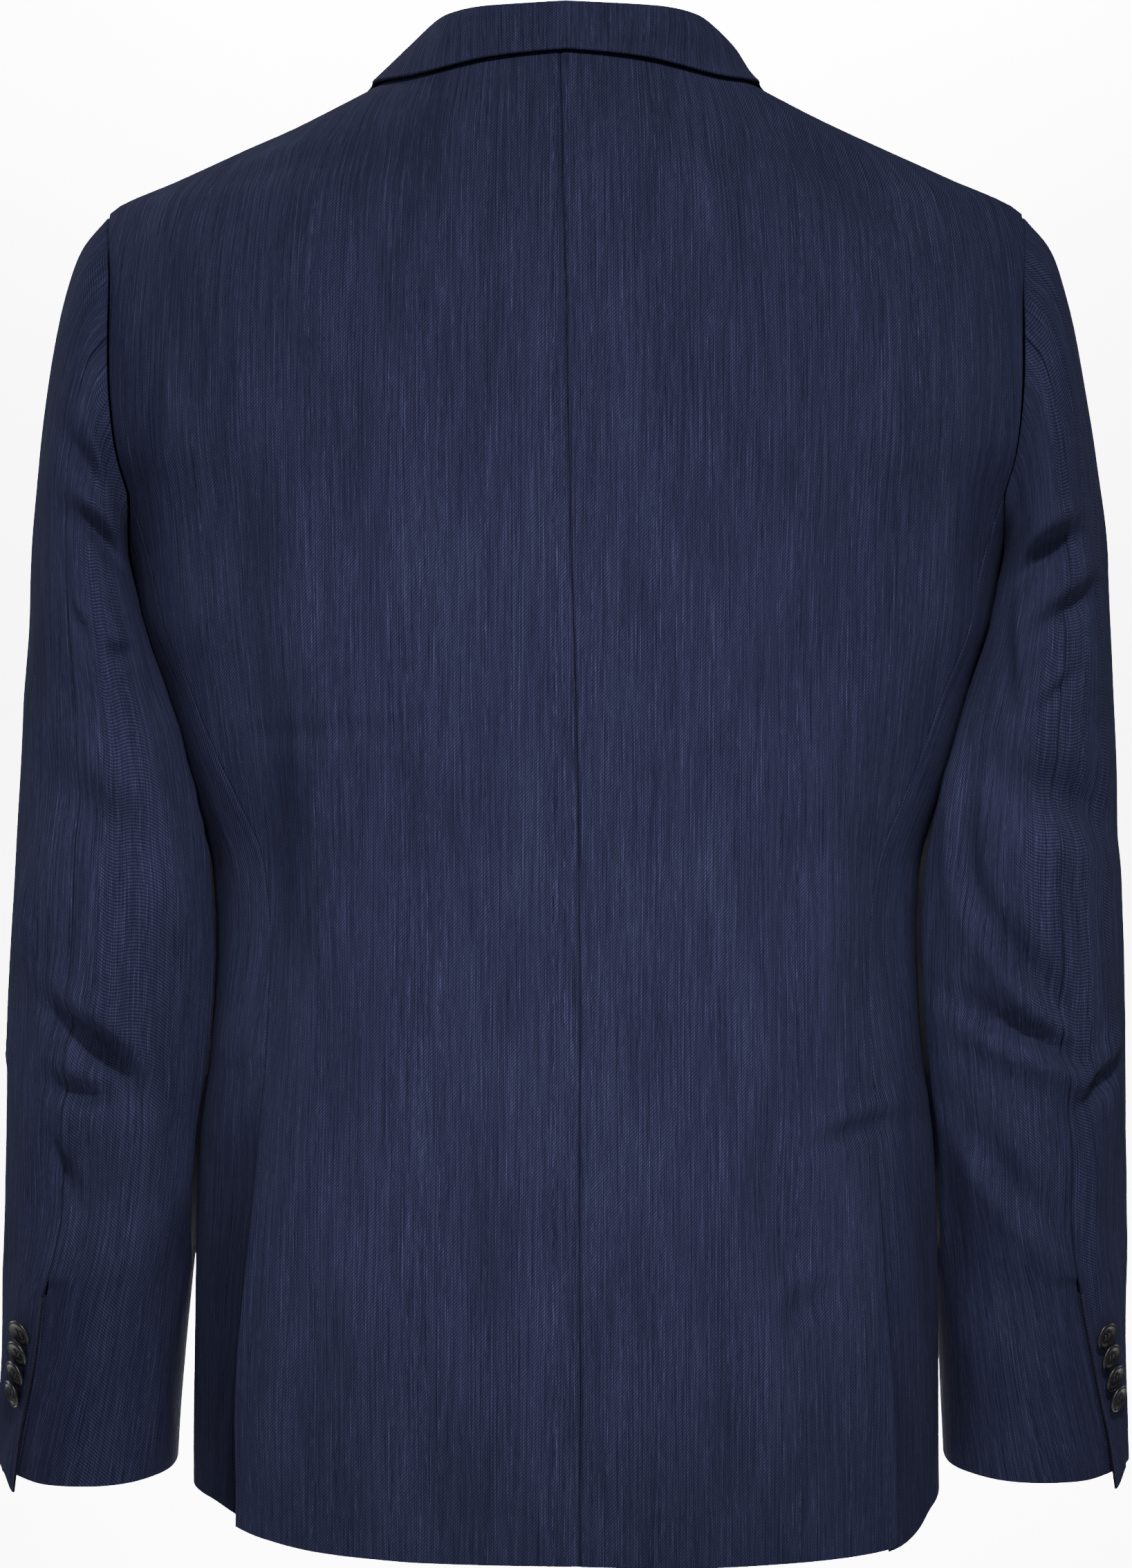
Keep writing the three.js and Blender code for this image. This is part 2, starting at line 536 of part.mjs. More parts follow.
// Half of the back, from the centre seam to the vent seam, the armhole and the shoulder seam.
function back(side, name) {
  const columns = 4;
  const rows = ROWS.map((row) => {
    const seamX = read(CENTRE_SEAM, 'x', row);
    const inner = side * angleAt(seamX, row);
    const outer = outerAngle(row, 'back');
    const wide = outer - inner - VENT_STRIPS[1];
    const main = Array.from({ length: columns + 1 }, (_, j) => inner + (wide * j) / columns);
    return [...main, outer - VENT_STRIPS[0], outer].map((angle) => {
      const drop = (NECK_POINT - NAPE) * (1 - (Math.max(0, angle) / 90) ** 2) * ease(-41, NECK_POINT, row);
      return bodyCellOn(side, angle, rowHeight(side, row, angle) - drop);
    });
  });
  rows.forEach((cells, i) => {
    if (ROWS[i] >= ARMHOLE_CORNER && ROWS[i] <= SHOULDER_TIP) {
      sewArmhole(cells[cells.length - 1], side, lapOfRow(ROWS[i]));
    }
  });
  trim(rows, 'columns', 'first');
  trim(rows, 'columns', 'last', GAP / 2, (i) => ROWS[i] <= ARMHOLE_CORNER || ROWS[i] >= SHOULDER_TIP);
  trim(rows, 'rows', 'last', 2 * GAP);
  return wall(name, mirror(rows, side));
}

// A cell of the body, worked out on the left and with the folds of the side it is for.
function bodyCellOn(side, angle, z, lift = 0) {
  const p = bodyPoint(angle, z);
  const n = bodyNormal(angle, z);
  const inward = Math.abs(angle) < 90 ? foldDepth(BODY_FOLDS, side * p.x, z) : 0;
  const outer = p.addScaledVector(n, lift - inward * edgeFade(angle, z));
  return { outer, inner: outer.clone().addScaledVector(n, -WALL) };
}

// Folds fade out towards the seams, so that the pieces still meet there.
function edgeFade(angle, z) {
  return ease(0, 12, outerAngle(z, 'back') - angle);
}

// The outer edge of a back or front at a row: side seam, then armhole, then shoulder seam.
function outerAngle(row, part) {
  const front = part === 'front';
  if (row < ARMHOLE_CORNER) return read(BODY_SEAMS, front ? 'dart' : 'vent', row) + seamEnd(row, front);
  if (row < SHOULDER_TIP) return angleAt(read(ARMHOLE, part, row), row, front);
  return 90;
}

// Brings a side seam smoothly to the armhole's corner.
function seamEnd(row, front) {
  const corner = angleAt(read(ARMHOLE, front ? 'front' : 'back', ARMHOLE_CORNER), ARMHOLE_CORNER, front);
  const table = read(BODY_SEAMS, front ? 'dart' : 'vent', ARMHOLE_CORNER);
  return (corner - table) * ease(SEAMS_TURN, ARMHOLE_CORNER, row);
}

// The side body, with the strip that lies under the back along the vent.
function side(which, name) {
  const key = which > 0 ? 'left' : 'right';
  const rows = ROWS.filter((z) => z <= ARMHOLE_CORNER);
  const top = VENT_TOP[key];
  const grid = rows.map((row) => {
    const [from, to] = [outerAngle(row - 1e-6, 'back'), outerAngle(row - 1e-6, 'front')];
    const sunk = row < top
      ? LAP + (VENT_LAP[key] - LAP) * ease(top, HEM, row)
      : 0;
    const strips = VENT_STRIPS.map((more) => from - more).reverse();
    const step = (to - from) / SIDE_COLUMNS;
    const main = Array.from({ length: SIDE_COLUMNS + 1 }, (_, j) => from + step * j);
    return [...strips, ...main].map((angle) => {
      const share = (angle - from) / (to - from);
      const lift = -sunk * (share <= 0 ? 1 : ease(0.3, 0, share));
      const full = share > 0 ? underarmHeight(share) - ARMHOLE_CORNER : 0;
      const dip = full * ease(UNDERARM_FADE, ARMHOLE_CORNER, row);
      return bodyCellOn(which, angle, rowHeight(which, row, angle) + dip, lift);
    });
  });
  const strips = VENT_STRIPS.length;
  for (let j = 0; j <= SIDE_COLUMNS; j += 1) {
    sewArmhole(grid[grid.length - 1][strips + j], which, 1 + j / SIDE_COLUMNS);
  }
  const seamRows = (i) => rows[i] >= top;
  for (let i = 0; i < grid.length; i += 1) {
    if (!seamRows(i)) continue;
    const step = grid[i][strips + 1].outer.clone().sub(grid[i][strips].outer).setLength(GAP / 2);
    grid[i][strips].outer.add(step);
    grid[i][strips].inner.add(step);
  }
  trim(grid, 'columns', 'last');
  return wall(name, mirror(grid, which), TWILL, (i, j) => j >= strips || rows[i + 1] < top);
}

const rollX = (z) => GORGE.x + ((BREAK.x - GORGE.x) * (GORGE.z - z)) / (GORGE.z - BREAK.z);

// The inner edge of a front: its edge, then the roll line, then the neckline.
function frontEdge(row) {
  if (row < BREAK.z) return read(FRONT_EDGE, 'x', row);
  return row < GORGE.z ? rollX(row) : read(FRONT_NECKLINE, 'x', row);
}

// Where the left front rises over the right one, and how far it lies over it.
const OVERLAP = { outX: 58, inX: 24, top: -240, low: -290 };
function frontLift(which, x, z) {
  if (which < 0) return 0;
  return (LAP + 0.4) * ease(OVERLAP.outX, OVERLAP.inX, x) * ease(OVERLAP.top, OVERLAP.low, z);
}

// A front, from its edge and roll line to the side seam, the armhole and the shoulder seam.
function front(which, name) {
  const columns = 6;
  const edges = [0, 20, 42];
  const rows = ROWS.map((row) => {
    const outer = outerAngle(row, 'front');
    const edge = row >= NECK_POINT ? null : frontEdge(row);
    const last = row >= NECK_POINT;
    const first = last ? outer + 14 : angleAt(edge, row, true);
    const strip = last
      ? edges.map((d) => outer + 14 - (14 * d) / 60)
      : edges.map((d) => angleAt(edge + d * ease(GORGE.z + 60, BREAK.z, row)
        + (d / 42) * 12 * ease(BREAK.z, GORGE.z + 60, row), row, true));
    const from = strip[strip.length - 1];
    const rest = Array.from({ length: columns }, (_, j) => from + ((outer - from) * (j + 1)) / columns);
    return [first, ...strip.slice(1), ...rest].map((angle) => {
      const z = rowHeight(which, row, angle) - (last ? (angle - outer) * 0.2 : 0);
      return bodyCellOn(which, angle, z, frontLift(which, bodyPoint(angle, z).x, z));
    });
  });
  rows.forEach((cells, i) => {
    const row = ROWS[i];
    if (row >= ARMHOLE_CORNER && row <= SHOULDER_TIP) {
      sewArmhole(cells[cells.length - 1], which, row === SHOULDER_TIP ? 0 : 3 - lapOfRow(row));
    }
  });
  trim(rows, 'columns', 'last', GAP / 2, (i) => ROWS[i] <= ARMHOLE_CORNER || ROWS[i] >= SHOULDER_TIP);
  trim(rows, 'columns', 'first', 2 * GAP, (i) => ROWS[i] >= BREAK.z);
  trim(rows, 'rows', 'last', 2 * GAP);
  return wall(name, mirror(rows, which));
}

// A sleeve's two pieces. The top sleeve runs from the back seam over the shoulder to the front
// seam. The under sleeve has the rest, and the cuff vent's strip under the top sleeve.
function sleeve(which, names) {
  const sections = SLEEVE.map((_, i) => i);
  const points = sleeveGrid(which, RING_LAPS, sections);
  const count = RING_LAPS.length;
  const closed = points.map((ring) => [...ring, ring[0]]);
  const cells = backed(closed, WALL, 1);
  cells.forEach((ring, i) => {
    const [before, first, after] = [closed[i][count - 1], closed[i][0], closed[i][1]];
    const up = (closed[Math.min(i + 1, closed.length - 1)][0]).clone().sub(closed[Math.max(i - 1, 0)][0]);
    const n = up.cross(after.clone().sub(before)).normalize();
    const cell = { outer: first.clone(), inner: first.clone().addScaledVector(n, -WALL) };
    ring[0] = cell;
    ring[count] = cell;
  });
  RINGS_OF_SIDE[which].forEach((spot, k) => {
    const step = spot.shift.clone().multiplyScalar(GAP + 0.1);
    cells[0][k] = {
      outer: spot.start.clone().add(step),
      inner: spot.start.clone().add(spot.sleeve).add(step),
    };
  });
  cells[0][count] = cells[0][0];
  const copy = (cell) => ({ outer: cell.outer.clone(), inner: cell.inner.clone() });
  const backSeam = RING_LAPS.findIndex((lap) => Math.abs(lap - lapOfRow(BACK_SEAM_ROW)) < 1e-6);
  const frontSeam = RING_LAPS.findIndex((lap) => Math.abs(lap - 3 + lapOfRow(FRONT_SEAM_ROW)) < 1e-6);
  const order = [];
  for (let k = frontSeam; k < count; k += 1) order.push(k);
  for (let k = 0; k <= backSeam; k += 1) order.push(k);
  const top = cells.map((ring) => order.map((k) => copy(ring[k])));
  const seamLap = RING_LAPS[backSeam];
  const hang = (lap) => CUFF_CORNER.drop * ease(seamLap - CUFF_CORNER.wide, seamLap, lap);
  top[top.length - 1].forEach((cell, j) => {
    if (order[j] > backSeam) return;
    cell.outer.z -= hang(RING_LAPS[order[j]]);
    cell.inner.z -= hang(RING_LAPS[order[j]]);
  });
  trim(top, 'columns', 'first');
  trim(top, 'columns', 'last');
  const strips = [...CUFF_LAP_TURNS].reverse().map((turn) => sections.map((at) => (
    sleevePoint(which, at, seamLap, -turn)
  )));
  const under = cells.map((ring, i) => {
    const sunk = i >= CUFF_VENT_SECTION ? LAP + 0.4 : 0;
    const main = ring.slice(backSeam, frontSeam + 1).map(copy);
    const lower = (cell) => {
      const step = cell.inner.clone().sub(cell.outer).setLength(sunk);
      cell.outer.add(step);
      cell.inner.add(step);
      return cell;
    };
    lower(main[0]);
    const axis = SLEEVE[i];
    const mid = new THREE.Vector3((axis.outX + axis.inX) / 2, ring[backSeam].outer.y - axis.half, 0);
    const extra = strips.map((strip) => {
      const outer = strip[i].clone();
      const inward = mid.clone().setZ(outer.z).sub(outer).normalize();
      return lower({ outer, inner: outer.clone().addScaledVector(inward, WALL) });
    });
    return [...extra, ...main];
  });
  const first = CUFF_LAP_TURNS.length;
  for (let i = 0; i < CUFF_VENT_SECTION; i += 1) {
    const step = under[i][first + 1].outer.clone().sub(under[i][first].outer).setLength(GAP / 2);
    under[i][first].outer.add(step);
    under[i][first].inner.add(step);
  }
  trim(under, 'columns', 'last');
  return [
    wall(names[0], mirror(top, which)),
    wall(names[1], mirror(under, which), TWILL, (i, j) => j >= first || i >= CUFF_VENT_SECTION),
  ];
}

// The front's cloth at x, z, with a lift, and the two ways to move there: off the cloth, and
// along it away from the roll line.
function frontPlace(which, x, z) {
  const angle = angleAt(x, z, true);
  const n = bodyNormal(angle, z);
  const away = new THREE.Vector3(1, 0, 0);
  away.addScaledVector(n, -away.dot(n)).normalize();
  const p = bodyPoint(angle, z).addScaledVector(n, frontLift(which, x, z));
  return { p, n, away };
}

// The roll where cloth turns over at the roll line: how far beyond the front's edge, how high.
const ROLL = [
  { along: -3.2, high: -1.6 },
  { along: -3.6, high: 0.8 },
  { along: -2.0, high: 3.6 },
  { along: 2.0, high: 5.2 },
];
const LEAF_SHARES = [0.14, 0.36, 0.6, 0.8, 1];
const TUCK = { from: -232, to: -254 }; // where the right lapel turns in under the left front
const RIGHT_LAPEL_END = -330;
const leafHeight = (share) => LAP + 0.8 + 2.6 * (1 - share) ** 1.5;

// A lapel: rows from the gorge down the roll line, each from the roll out to the lapel's edge.
function lapel(which, name) {
  const rows = [];
  const count = 12;
  const low = which > 0 ? BREAK.z + 6 : RIGHT_LAPEL_END;
  for (let i = 0; i <= count; i += 1) {
    const t = i / count;
    const z = GORGE.z + (low - GORGE.z) * t;
    const tuck = which > 0 ? 0 : ease(TUCK.from, TUCK.to, z);
    const inX = rollX(z) + tuck * (9.5 - 2 * rollX(z));
    const full = Math.max(0, (LAPEL_CORNER.z - BREAK.z) * t);
    const outZ = LAPEL_CORNER.z + (low - 3 - LAPEL_CORNER.z) * t;
    const straight = LAPEL_CORNER.x + ((BREAK.x + 3 - LAPEL_CORNER.x) * full) / (LAPEL_CORNER.z - BREAK.z);
    const bow = LAPEL_BELLY * Math.sin(Math.PI * t ** 0.8) * (1 - 0.3 * t);
    const outX = Math.max(straight + bow, inX + 7);
    const start = frontPlace(which, inX, z);
    const roll = ROLL.map((r, k) => start.p.clone()
      .addScaledVector(start.away, r.along + (k - ROLL.length - r.along) * tuck * 0.8)
      .addScaledVector(start.n, r.high + (leafHeight(0) - r.high) * tuck));
    const leaf = LEAF_SHARES.map((share) => {
      const [x, height] = [inX + (outX - inX) * share, z + (outZ - z) * share];
      const place = frontPlace(which, x, height);
      return place.p.addScaledVector(place.n, leafHeight(share));
    });
    rows.push([...roll, ...leaf]);
  }
  const grid = backed(rows, WALL, facing(rows, new THREE.Vector3(0, -1, 0)));
  trim(grid, 'rows', 'first', GAP);
  return wall(name, mirror(grid, which));
}

// 1 where a grid's own normals already point along way at its middle, and -1 where they don't.
function facing(points, way) {
  const [i, j] = [Math.floor(points.length / 2), points[0].length - 3];
  const along = points[i][j + 1].clone().sub(points[i][j - 1]);
  const up = points[i + 1][j].clone().sub(points[i - 1][j]);
  return Math.sign(up.cross(along).dot(way));
}

// One row of the left half of the collar, from the stand's seam over the fold to the leaf's edge.
function collarRow(at) {
  const get = (key) => read(COLLAR, key, at, 'at');
  const seamN = bodyNormal(get('seamAngle'), get('seamZ'));
  const seam = bodyPoint(get('seamAngle'), get('seamZ')).addScaledVector(seamN, 0.6);
  const fold = new THREE.Vector3(get('foldX'), get('foldY'), get('foldZ'));
  const edge = leafPlace(get('edgeAngle'), get('edgeZ'), 1);
  const spread = edge.clone().sub(seam).setLength(2.6);
  const drop = seam.clone().add(edge).multiplyScalar(0.5).sub(fold).setLength(2.8);
  const inside = fold.clone().sub(spread).add(drop);
  const outside = fold.clone().add(spread).add(drop);
  seam.addScaledVector(spread, -1);
  const stand = [0, 0.5, 1].map((t) => seam.clone().lerp(inside, t));
  const leaf = LEAF_SHARES.map((t) => {
    const p = outside.clone().lerp(edge, t);
    const angle = deg(Math.atan2(p.x, p.y));
    const under = bodyPoint(angle, p.z);
    const out = Math.hypot(p.x, p.y) / Math.hypot(under.x, under.y);
    const need = 1 + (LAP + 1) / Math.hypot(under.x, under.y);
    if (out < need && t < 1) {
      p.x *= need / out;
      p.y *= need / out;
    }
    return p;
  });
  return [...stand, fold, outside, ...leaf];
}

function leafPlace(angle, z, share) {
  return bodyPoint(angle, z).addScaledVector(bodyNormal(angle, z), leafHeight(share));
}

// The collar stands wider on the right: how far, between which heights and from which depth back.
const COLLAR_LEAN = { wide: 6, low: 9, high: 28, front: -50, back: 0 };
function collarLean(p) {
  const { wide, low, high, front, back } = COLLAR_LEAN;
  return p.clone().setX(-p.x - wide * ease(low, high, p.z) * ease(front, back, p.y) * ease(0, 30, p.x));
}

// The collar, all round the neck from one gorge to the other.
function collar(name) {
  const half = [0, 0.5, 1, 1.5, 2, 2.5, 3, 3.5, 4, 4.5, 5, 5.5, 6];
  const left = half.map((at) => collarRow(at));
  const end = left[left.length - 1];
  const first = end.length - LEAF_SHARES.length - 1;
  const target = end.slice(first).map((p, k, all) => {
    const t = k / (all.length - 1);
    const gorge = t < 0.6;
    const s = gorge ? t / 0.6 : (t - 0.6) / 0.4;
    const x = gorge ? GORGE.x + (NOTCH.x - GORGE.x) * s : NOTCH.x + (end[end.length - 1].x - NOTCH.x) * s;
    const z = gorge ? GORGE.z + (NOTCH.z - GORGE.z) * s : NOTCH.z + (end[end.length - 1].z - NOTCH.z) * s;
    const place = frontPlace(-1, x, z + GORGE_GAP);
    return place.p.addScaledVector(place.n, k === 0 ? 5.2 : leafHeight(t));
  });
  const place = frontPlace(-1, GORGE.x, GORGE.z + GORGE_GAP);
  const roll = ROLL.map((r) => (
    place.p.clone().addScaledVector(place.away, r.along).addScaledVector(place.n, r.high)
  ));
  const goal = [roll[0], roll[0].clone().lerp(roll[1], 0.5), roll[1], roll[2], ...target];
  left.forEach((row, i) => {
    const weight = ease(4, 6, half[i]);
    row.forEach((p, k) => p.lerp(goal[k], weight));
  });
  const right = left.slice(1).reverse().map((row) => row.map(collarLean));
  const rows = [...right, ...left];
  const grid = backed(rows, WALL, facing(rows, new THREE.Vector3(0, 1, 0)));
  return wall(name, grid);
}

// A strip that lies on the body's form: corners by angle and height, moved out.
function strip(which, name, fromAngle, toAngle, lowAt, highAt, lift, columns, rowCount) {
  const rows = Array.from({ length: rowCount + 1 }, (_, i) => (
    Array.from({ length: columns + 1 }, (__, j) => {
      const share = j / columns;
      const angle = fromAngle + (toAngle - fromAngle) * share;
      const z = lowAt(share) + ((highAt(share) - lowAt(share)) * i) / rowCount;
      return bodyCellOn(which, angle, z, lift + frontLift(which, bodyPoint(angle, z).x, z));
    })
  ));
  return wall(name, mirror(rows, which));
}

function pocketFlap(which, name) {
  const top = (share) => FLAP.top + FLAP.slant * share;
  const round = (share) => 10 * Math.max(0, 1 - Math.min(share, 1 - share) / 0.14) ** 2;
  return strip(
    which, name, FLAP.fromAngle, FLAP.toAngle,
    (share) => top(share) - FLAP.deep + round(share), top, LAP + 0.4, 8, 2,
  );
}

function breastWelt(name) {
  const low = (share) => WELT.bottom + WELT.slant * share;
  const [from, to] = [angleAt(WELT.fromX, WELT.bottom, true), angleAt(WELT.toX, WELT.bottom, true)];
  return strip(1, name, from, to, low, (share) => low(share) + WELT.deep, LAP + 0.4, 5, 1);
}

const BUTTON_FOOT = 0.72; // the flat underside's radius, as a share of the button's

// A round button with a raised rim and a dished face, lying on +Z at the origin.
function button(name, radius, thick, sides = 16) {
  const profile = [
    [0, 0], [radius * BUTTON_FOOT, 0], [radius, thick * 0.45], [radius * 0.96, thick * 0.85],
    [radius * 0.82, thick], [radius * 0.66, thick * 0.7], [0, thick * 0.62],
  ].map(([x, y]) => new THREE.Vector2(x, y));
  const geometry = new THREE.LatheGeometry(profile, sides).rotateX(Math.PI / 2);
  const mesh = new THREE.Mesh(geometry, new THREE.MeshStandardMaterial(HORN));
  mesh.name = name;
  return mesh;
}

// Turns a button so that its back faces the cloth, leaning so that its low end is the higher.
function seat(mesh, p, normal, down, lean, gap) {
  const across = normal.clone().cross(down).normalize();
  const face = normal.clone().applyAxisAngle(across, rad(lean));
  const along = across.clone().cross(face).normalize();
  mesh.matrixAutoUpdate = false;
  const m = new THREE.Matrix4().makeBasis(along.clone().cross(face), along, face);
  m.setPosition(p.clone().addScaledVector(normal, gap));
  mesh.applyMatrix4(m);
  mesh.updateMatrix();
  return mesh;
}

// Where the cuff buttons lie, down the edge of the top sleeve's vent.
const CUFF_BUTTON_HEIGHTS = { 1: [-627, -638, -649, -660], [-1]: [-631, -642, -653, -664] };
const CUFF_BUTTON_IN = 11; // degrees from the vent's edge to a button's middle

function cuffButtons(which, key) {
  const lap = lapOfRow(BACK_SEAM_ROW);
  const spot = (at, turn) => sleevePoint(which, at, lap, -CUFF_BUTTON_IN + turn);
  return CUFF_BUTTON_HEIGHTS[which].map((z, k) => {
    let [low, high] = [CUFF_VENT_SECTION - 1, SLEEVE.length - 1];
    for (let step = 0; step < 24; step += 1) {
      const middle = (low + high) / 2;
      if (spot(middle, 0).z > z) low = middle;
      else high = middle;
    }
    const p = spot(low, 0);
    const down = spot(low + 0.2, 0).sub(p).normalize();
    const round = spot(low, 4).sub(spot(low, -4)).normalize();
    const n = round.cross(down).normalize();
    if (n.y < 0) n.negate();
    const lift = GAP + CUFF_BUTTON.radius * BUTTON_FOOT * Math.sin(rad(CUFF_BUTTON.lean)) + 0.1;
    const mesh = button(`cuff_button_${key}_${k + 1}`, CUFF_BUTTON.radius, CUFF_BUTTON.thick, 14);
    for (const v of [p, n, down]) v.x *= which;
    return seat(mesh, p, n, down, CUFF_BUTTON.lean, lift);
  });
}

function frontButton(name, z) {
  const place = frontPlace(1, 0, z);
  const mesh = button(name, FRONT_BUTTON.radius, FRONT_BUTTON.thick, 18);
  return seat(mesh, place.p, place.n, new THREE.Vector3(0, 0, -1), 0, GAP + 0.2);
}

const jacket = new THREE.Group();
for (const [which, key] of [[1, 'left'], [-1, 'right']]) {
  jacket.add(back(which, `back_${key}`));
  jacket.add(side(which, `side_${key}`));
  jacket.add(front(which, `front_${key}`));
  jacket.add(lapel(which, `lapel_${key}`));
  jacket.add(...sleeve(which, [`top_sleeve_${key}`, `under_sleeve_${key}`]));
  jacket.add(pocketFlap(which, `pocket_flap_${key}`));
  jacket.add(...cuffButtons(which, key));
}
jacket.add(collar('collar'));
jacket.add(breastWelt('breast_welt'));
for (const [key, z] of Object.entries(FRONT_BUTTON_HEIGHTS)) {
  jacket.add(frontButton(`front_button_${key}`, z));
}

export default jacket;
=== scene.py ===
"""A two-button suit jacket of navy melange twill, in the hollow form it has when it is worn.

Sizes are in millimetres here and turn to metres in one place, where a mesh is made. +X is the
wearer's left, +Y the back and +Z up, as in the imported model. Each cut piece of cloth is a grid of
points worked out from the body's form or a sleeve's sections, moved in and out by folds.
"""
import math

import bmesh
import bpy
import numpy as np
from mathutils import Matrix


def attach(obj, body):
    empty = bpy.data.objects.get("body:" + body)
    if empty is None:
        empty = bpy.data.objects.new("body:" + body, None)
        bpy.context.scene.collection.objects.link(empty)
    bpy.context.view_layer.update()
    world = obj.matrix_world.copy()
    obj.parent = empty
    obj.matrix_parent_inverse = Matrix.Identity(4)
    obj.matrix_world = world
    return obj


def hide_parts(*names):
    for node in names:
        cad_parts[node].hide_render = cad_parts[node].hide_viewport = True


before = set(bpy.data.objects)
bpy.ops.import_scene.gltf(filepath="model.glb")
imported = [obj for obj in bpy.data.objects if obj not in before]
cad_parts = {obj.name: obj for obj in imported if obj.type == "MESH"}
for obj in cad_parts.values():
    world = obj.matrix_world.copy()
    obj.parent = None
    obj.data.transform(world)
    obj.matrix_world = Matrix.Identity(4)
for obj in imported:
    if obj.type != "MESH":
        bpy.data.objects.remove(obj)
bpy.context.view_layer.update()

MM = 0.001
WALL = 2.0
LAP = 2.6  # how far a layer of cloth lies above the one under it
ON_TOP = LAP + 0.4  # the same for a loose one
SIDES = {"left": 1, "right": -1}

# Lengths of the jacket
HEM, HEM_FADE = -729.0, -600.0
SHOULDER_TIP, NECK_POINT, NAPE = -59.0, 18.0, 17.0
ARMHOLE_CORNER, UNDERARM = -205.0, -240.0
GORGE, BREAK = (64.0, -25.0), (-20.0, -352.0)  # ends of the roll line, x and z
VENT_TOP = {"left": -482.0, "right": -510.0}
VENT_LAP = {"left": 15.0, "right": 5.0}  # how deep the vent's underlap lies at the hem
VENT_SHADE = {"left": 0.9, "right": 0.3}  # how dark the painted shade on the side body is there


def table(names, *rows):
    """A short table as one array for each named column."""
    return {name: np.array(column, float) for name, column in zip(names.split(), zip(*rows))}


# Level sections of the body: half width, back and front depth, and the superellipse's power
RINGS = table(
    "z half back front bend",
    (-729, 191, 112, 130, 2.4), (-660, 190.5, 109, 128, 2.4), (-600, 190, 104, 126, 2.35),
    (-530, 187.5, 97, 123, 2.3), (-485, 182.5, 94, 121, 2.3), (-430, 180.5, 92, 121, 2.3),
    (-395, 182, 95, 123, 2.3), (-360, 190, 102, 125, 2.35), (-330, 198, 107, 126, 2.4),
    (-300, 206, 111, 127, 2.4), (-270, 216, 114, 126, 2.4), (-240, 221, 116, 125, 2.4),
    (-205, 230, 119, 123, 2.4), (-180, 243, 120, 121, 2.4), (-150, 250, 120, 117, 2.3),
    (-115, 251, 117, 110, 2.1), (-85, 247, 113, 101, 1.85), (-59, 233, 109, 92, 1.6),
    (-41, 196, 104, 82, 1.5), (-27, 165, 100, 77, 1.5), (-13, 134, 95, 70, 1.5),
    (1, 106, 90, 62, 1.55), (10, 88, 82, 54, 1.6), (18, 72, 74, 46, 1.6), (24, 62, 66, 40, 1.6),
)
HEM_LINE = table(
    "angle left right",
    (0, -730, -730), (34, -729, -731.5), (42, -728, -731.2), (53, -726, -730.6),
    (63, -721.2, -729.4), (70, -715.5, -726.8), (75, -711.5, -721.5), (80, -708.8, -713.5),
    (92, -707.5, -708.5), (108, -715, -715), (124, -726, -726), (140, -731, -731),
    (180, -731, -731),
)
BODY_SEAMS = table(
    "z vent dart",
    (-729, 67.5, 110), (-600, 68, 109), (-482, 70, 108), (-400, 72, 108), (-300, 75, 110),
    (-205, 78, 110),
)
CENTRE_SEAM = table("z x", (-729, -7), (-400, -6.5), (-230, -2.5), (10, 3))
ARMHOLE = table(
    "z back front",
    (-205, 219, 214), (-185, 224, 209), (-165, 226.5, 207), (-145, 228, 208),
    (-127, 228.5, 210.5), (-105, 229, 214.5), (-85, 230.5, 221), (-59, 233, 233),
)
FRONT_EDGE = table(
    "z x",
    (-729, 110), (-717, 84), (-697, 60), (-665, 34), (-630, 12), (-595, -4), (-560, -13),
    (-520, -19), (-482, -20), (-352, -20),
)
FRONT_NECKLINE = table("z x", (-25, 64), (1, 68.5), (15, 71))

# Sections of the left sleeve, armhole to cuff: its outer and inner end, its middle and half depth
# from front to back, how much lower its back is for each mm, and how far the back seam turns
SLEEVE = table(
    "outX outZ inX inZ midY half tip turn",
    (233, -59, 220, -240, -7, 69, 0, 0), (247, -77, 219, -244, -5, 70, 0, 0),
    (256, -104, 217, -249, -3, 71, 0, 0), (264, -139, 214, -256, -1, 71, 0, -2),
    (271, -182, 210, -265, 1, 70, 0, -2), (276, -228, 205, -279, 3, 68, 0, 0),
    (279, -272, 198, -299, 5, 66, 0, 2), (281, -315, 187, -326, 7, 64, 0, 2),
    (282, -357, 179.5, -360, 8, 62, 0, 0), (283.5, -398, 175, -398, 8, 61, 0.02, -1),
    (285, -440, 173, -440, 5, 60, 0.06, -3), (286, -482, 176, -482, 0, 58, 0.1, -4),
    (286, -522, 180.5, -522, -7, 56, 0.13, -4), (286, -558, 185, -558, -13, 54, 0.14, -3),
    (286.5, -584, 189, -584, -17, 53, 0.14, -5), (287, -600, 190.5, -600, -20, 52, 0.14, -9),
    (287.5, -640, 194, -640, -26, 51, 0.14, -17), (288, -672, 196.5, -672, -31, 50, 0.14, -25),
    (288, -700, 198, -700, -35, 50, 0.14, -34),
)
SLEEVE["i"] = np.arange(len(SLEEVE["outX"]), dtype=float)
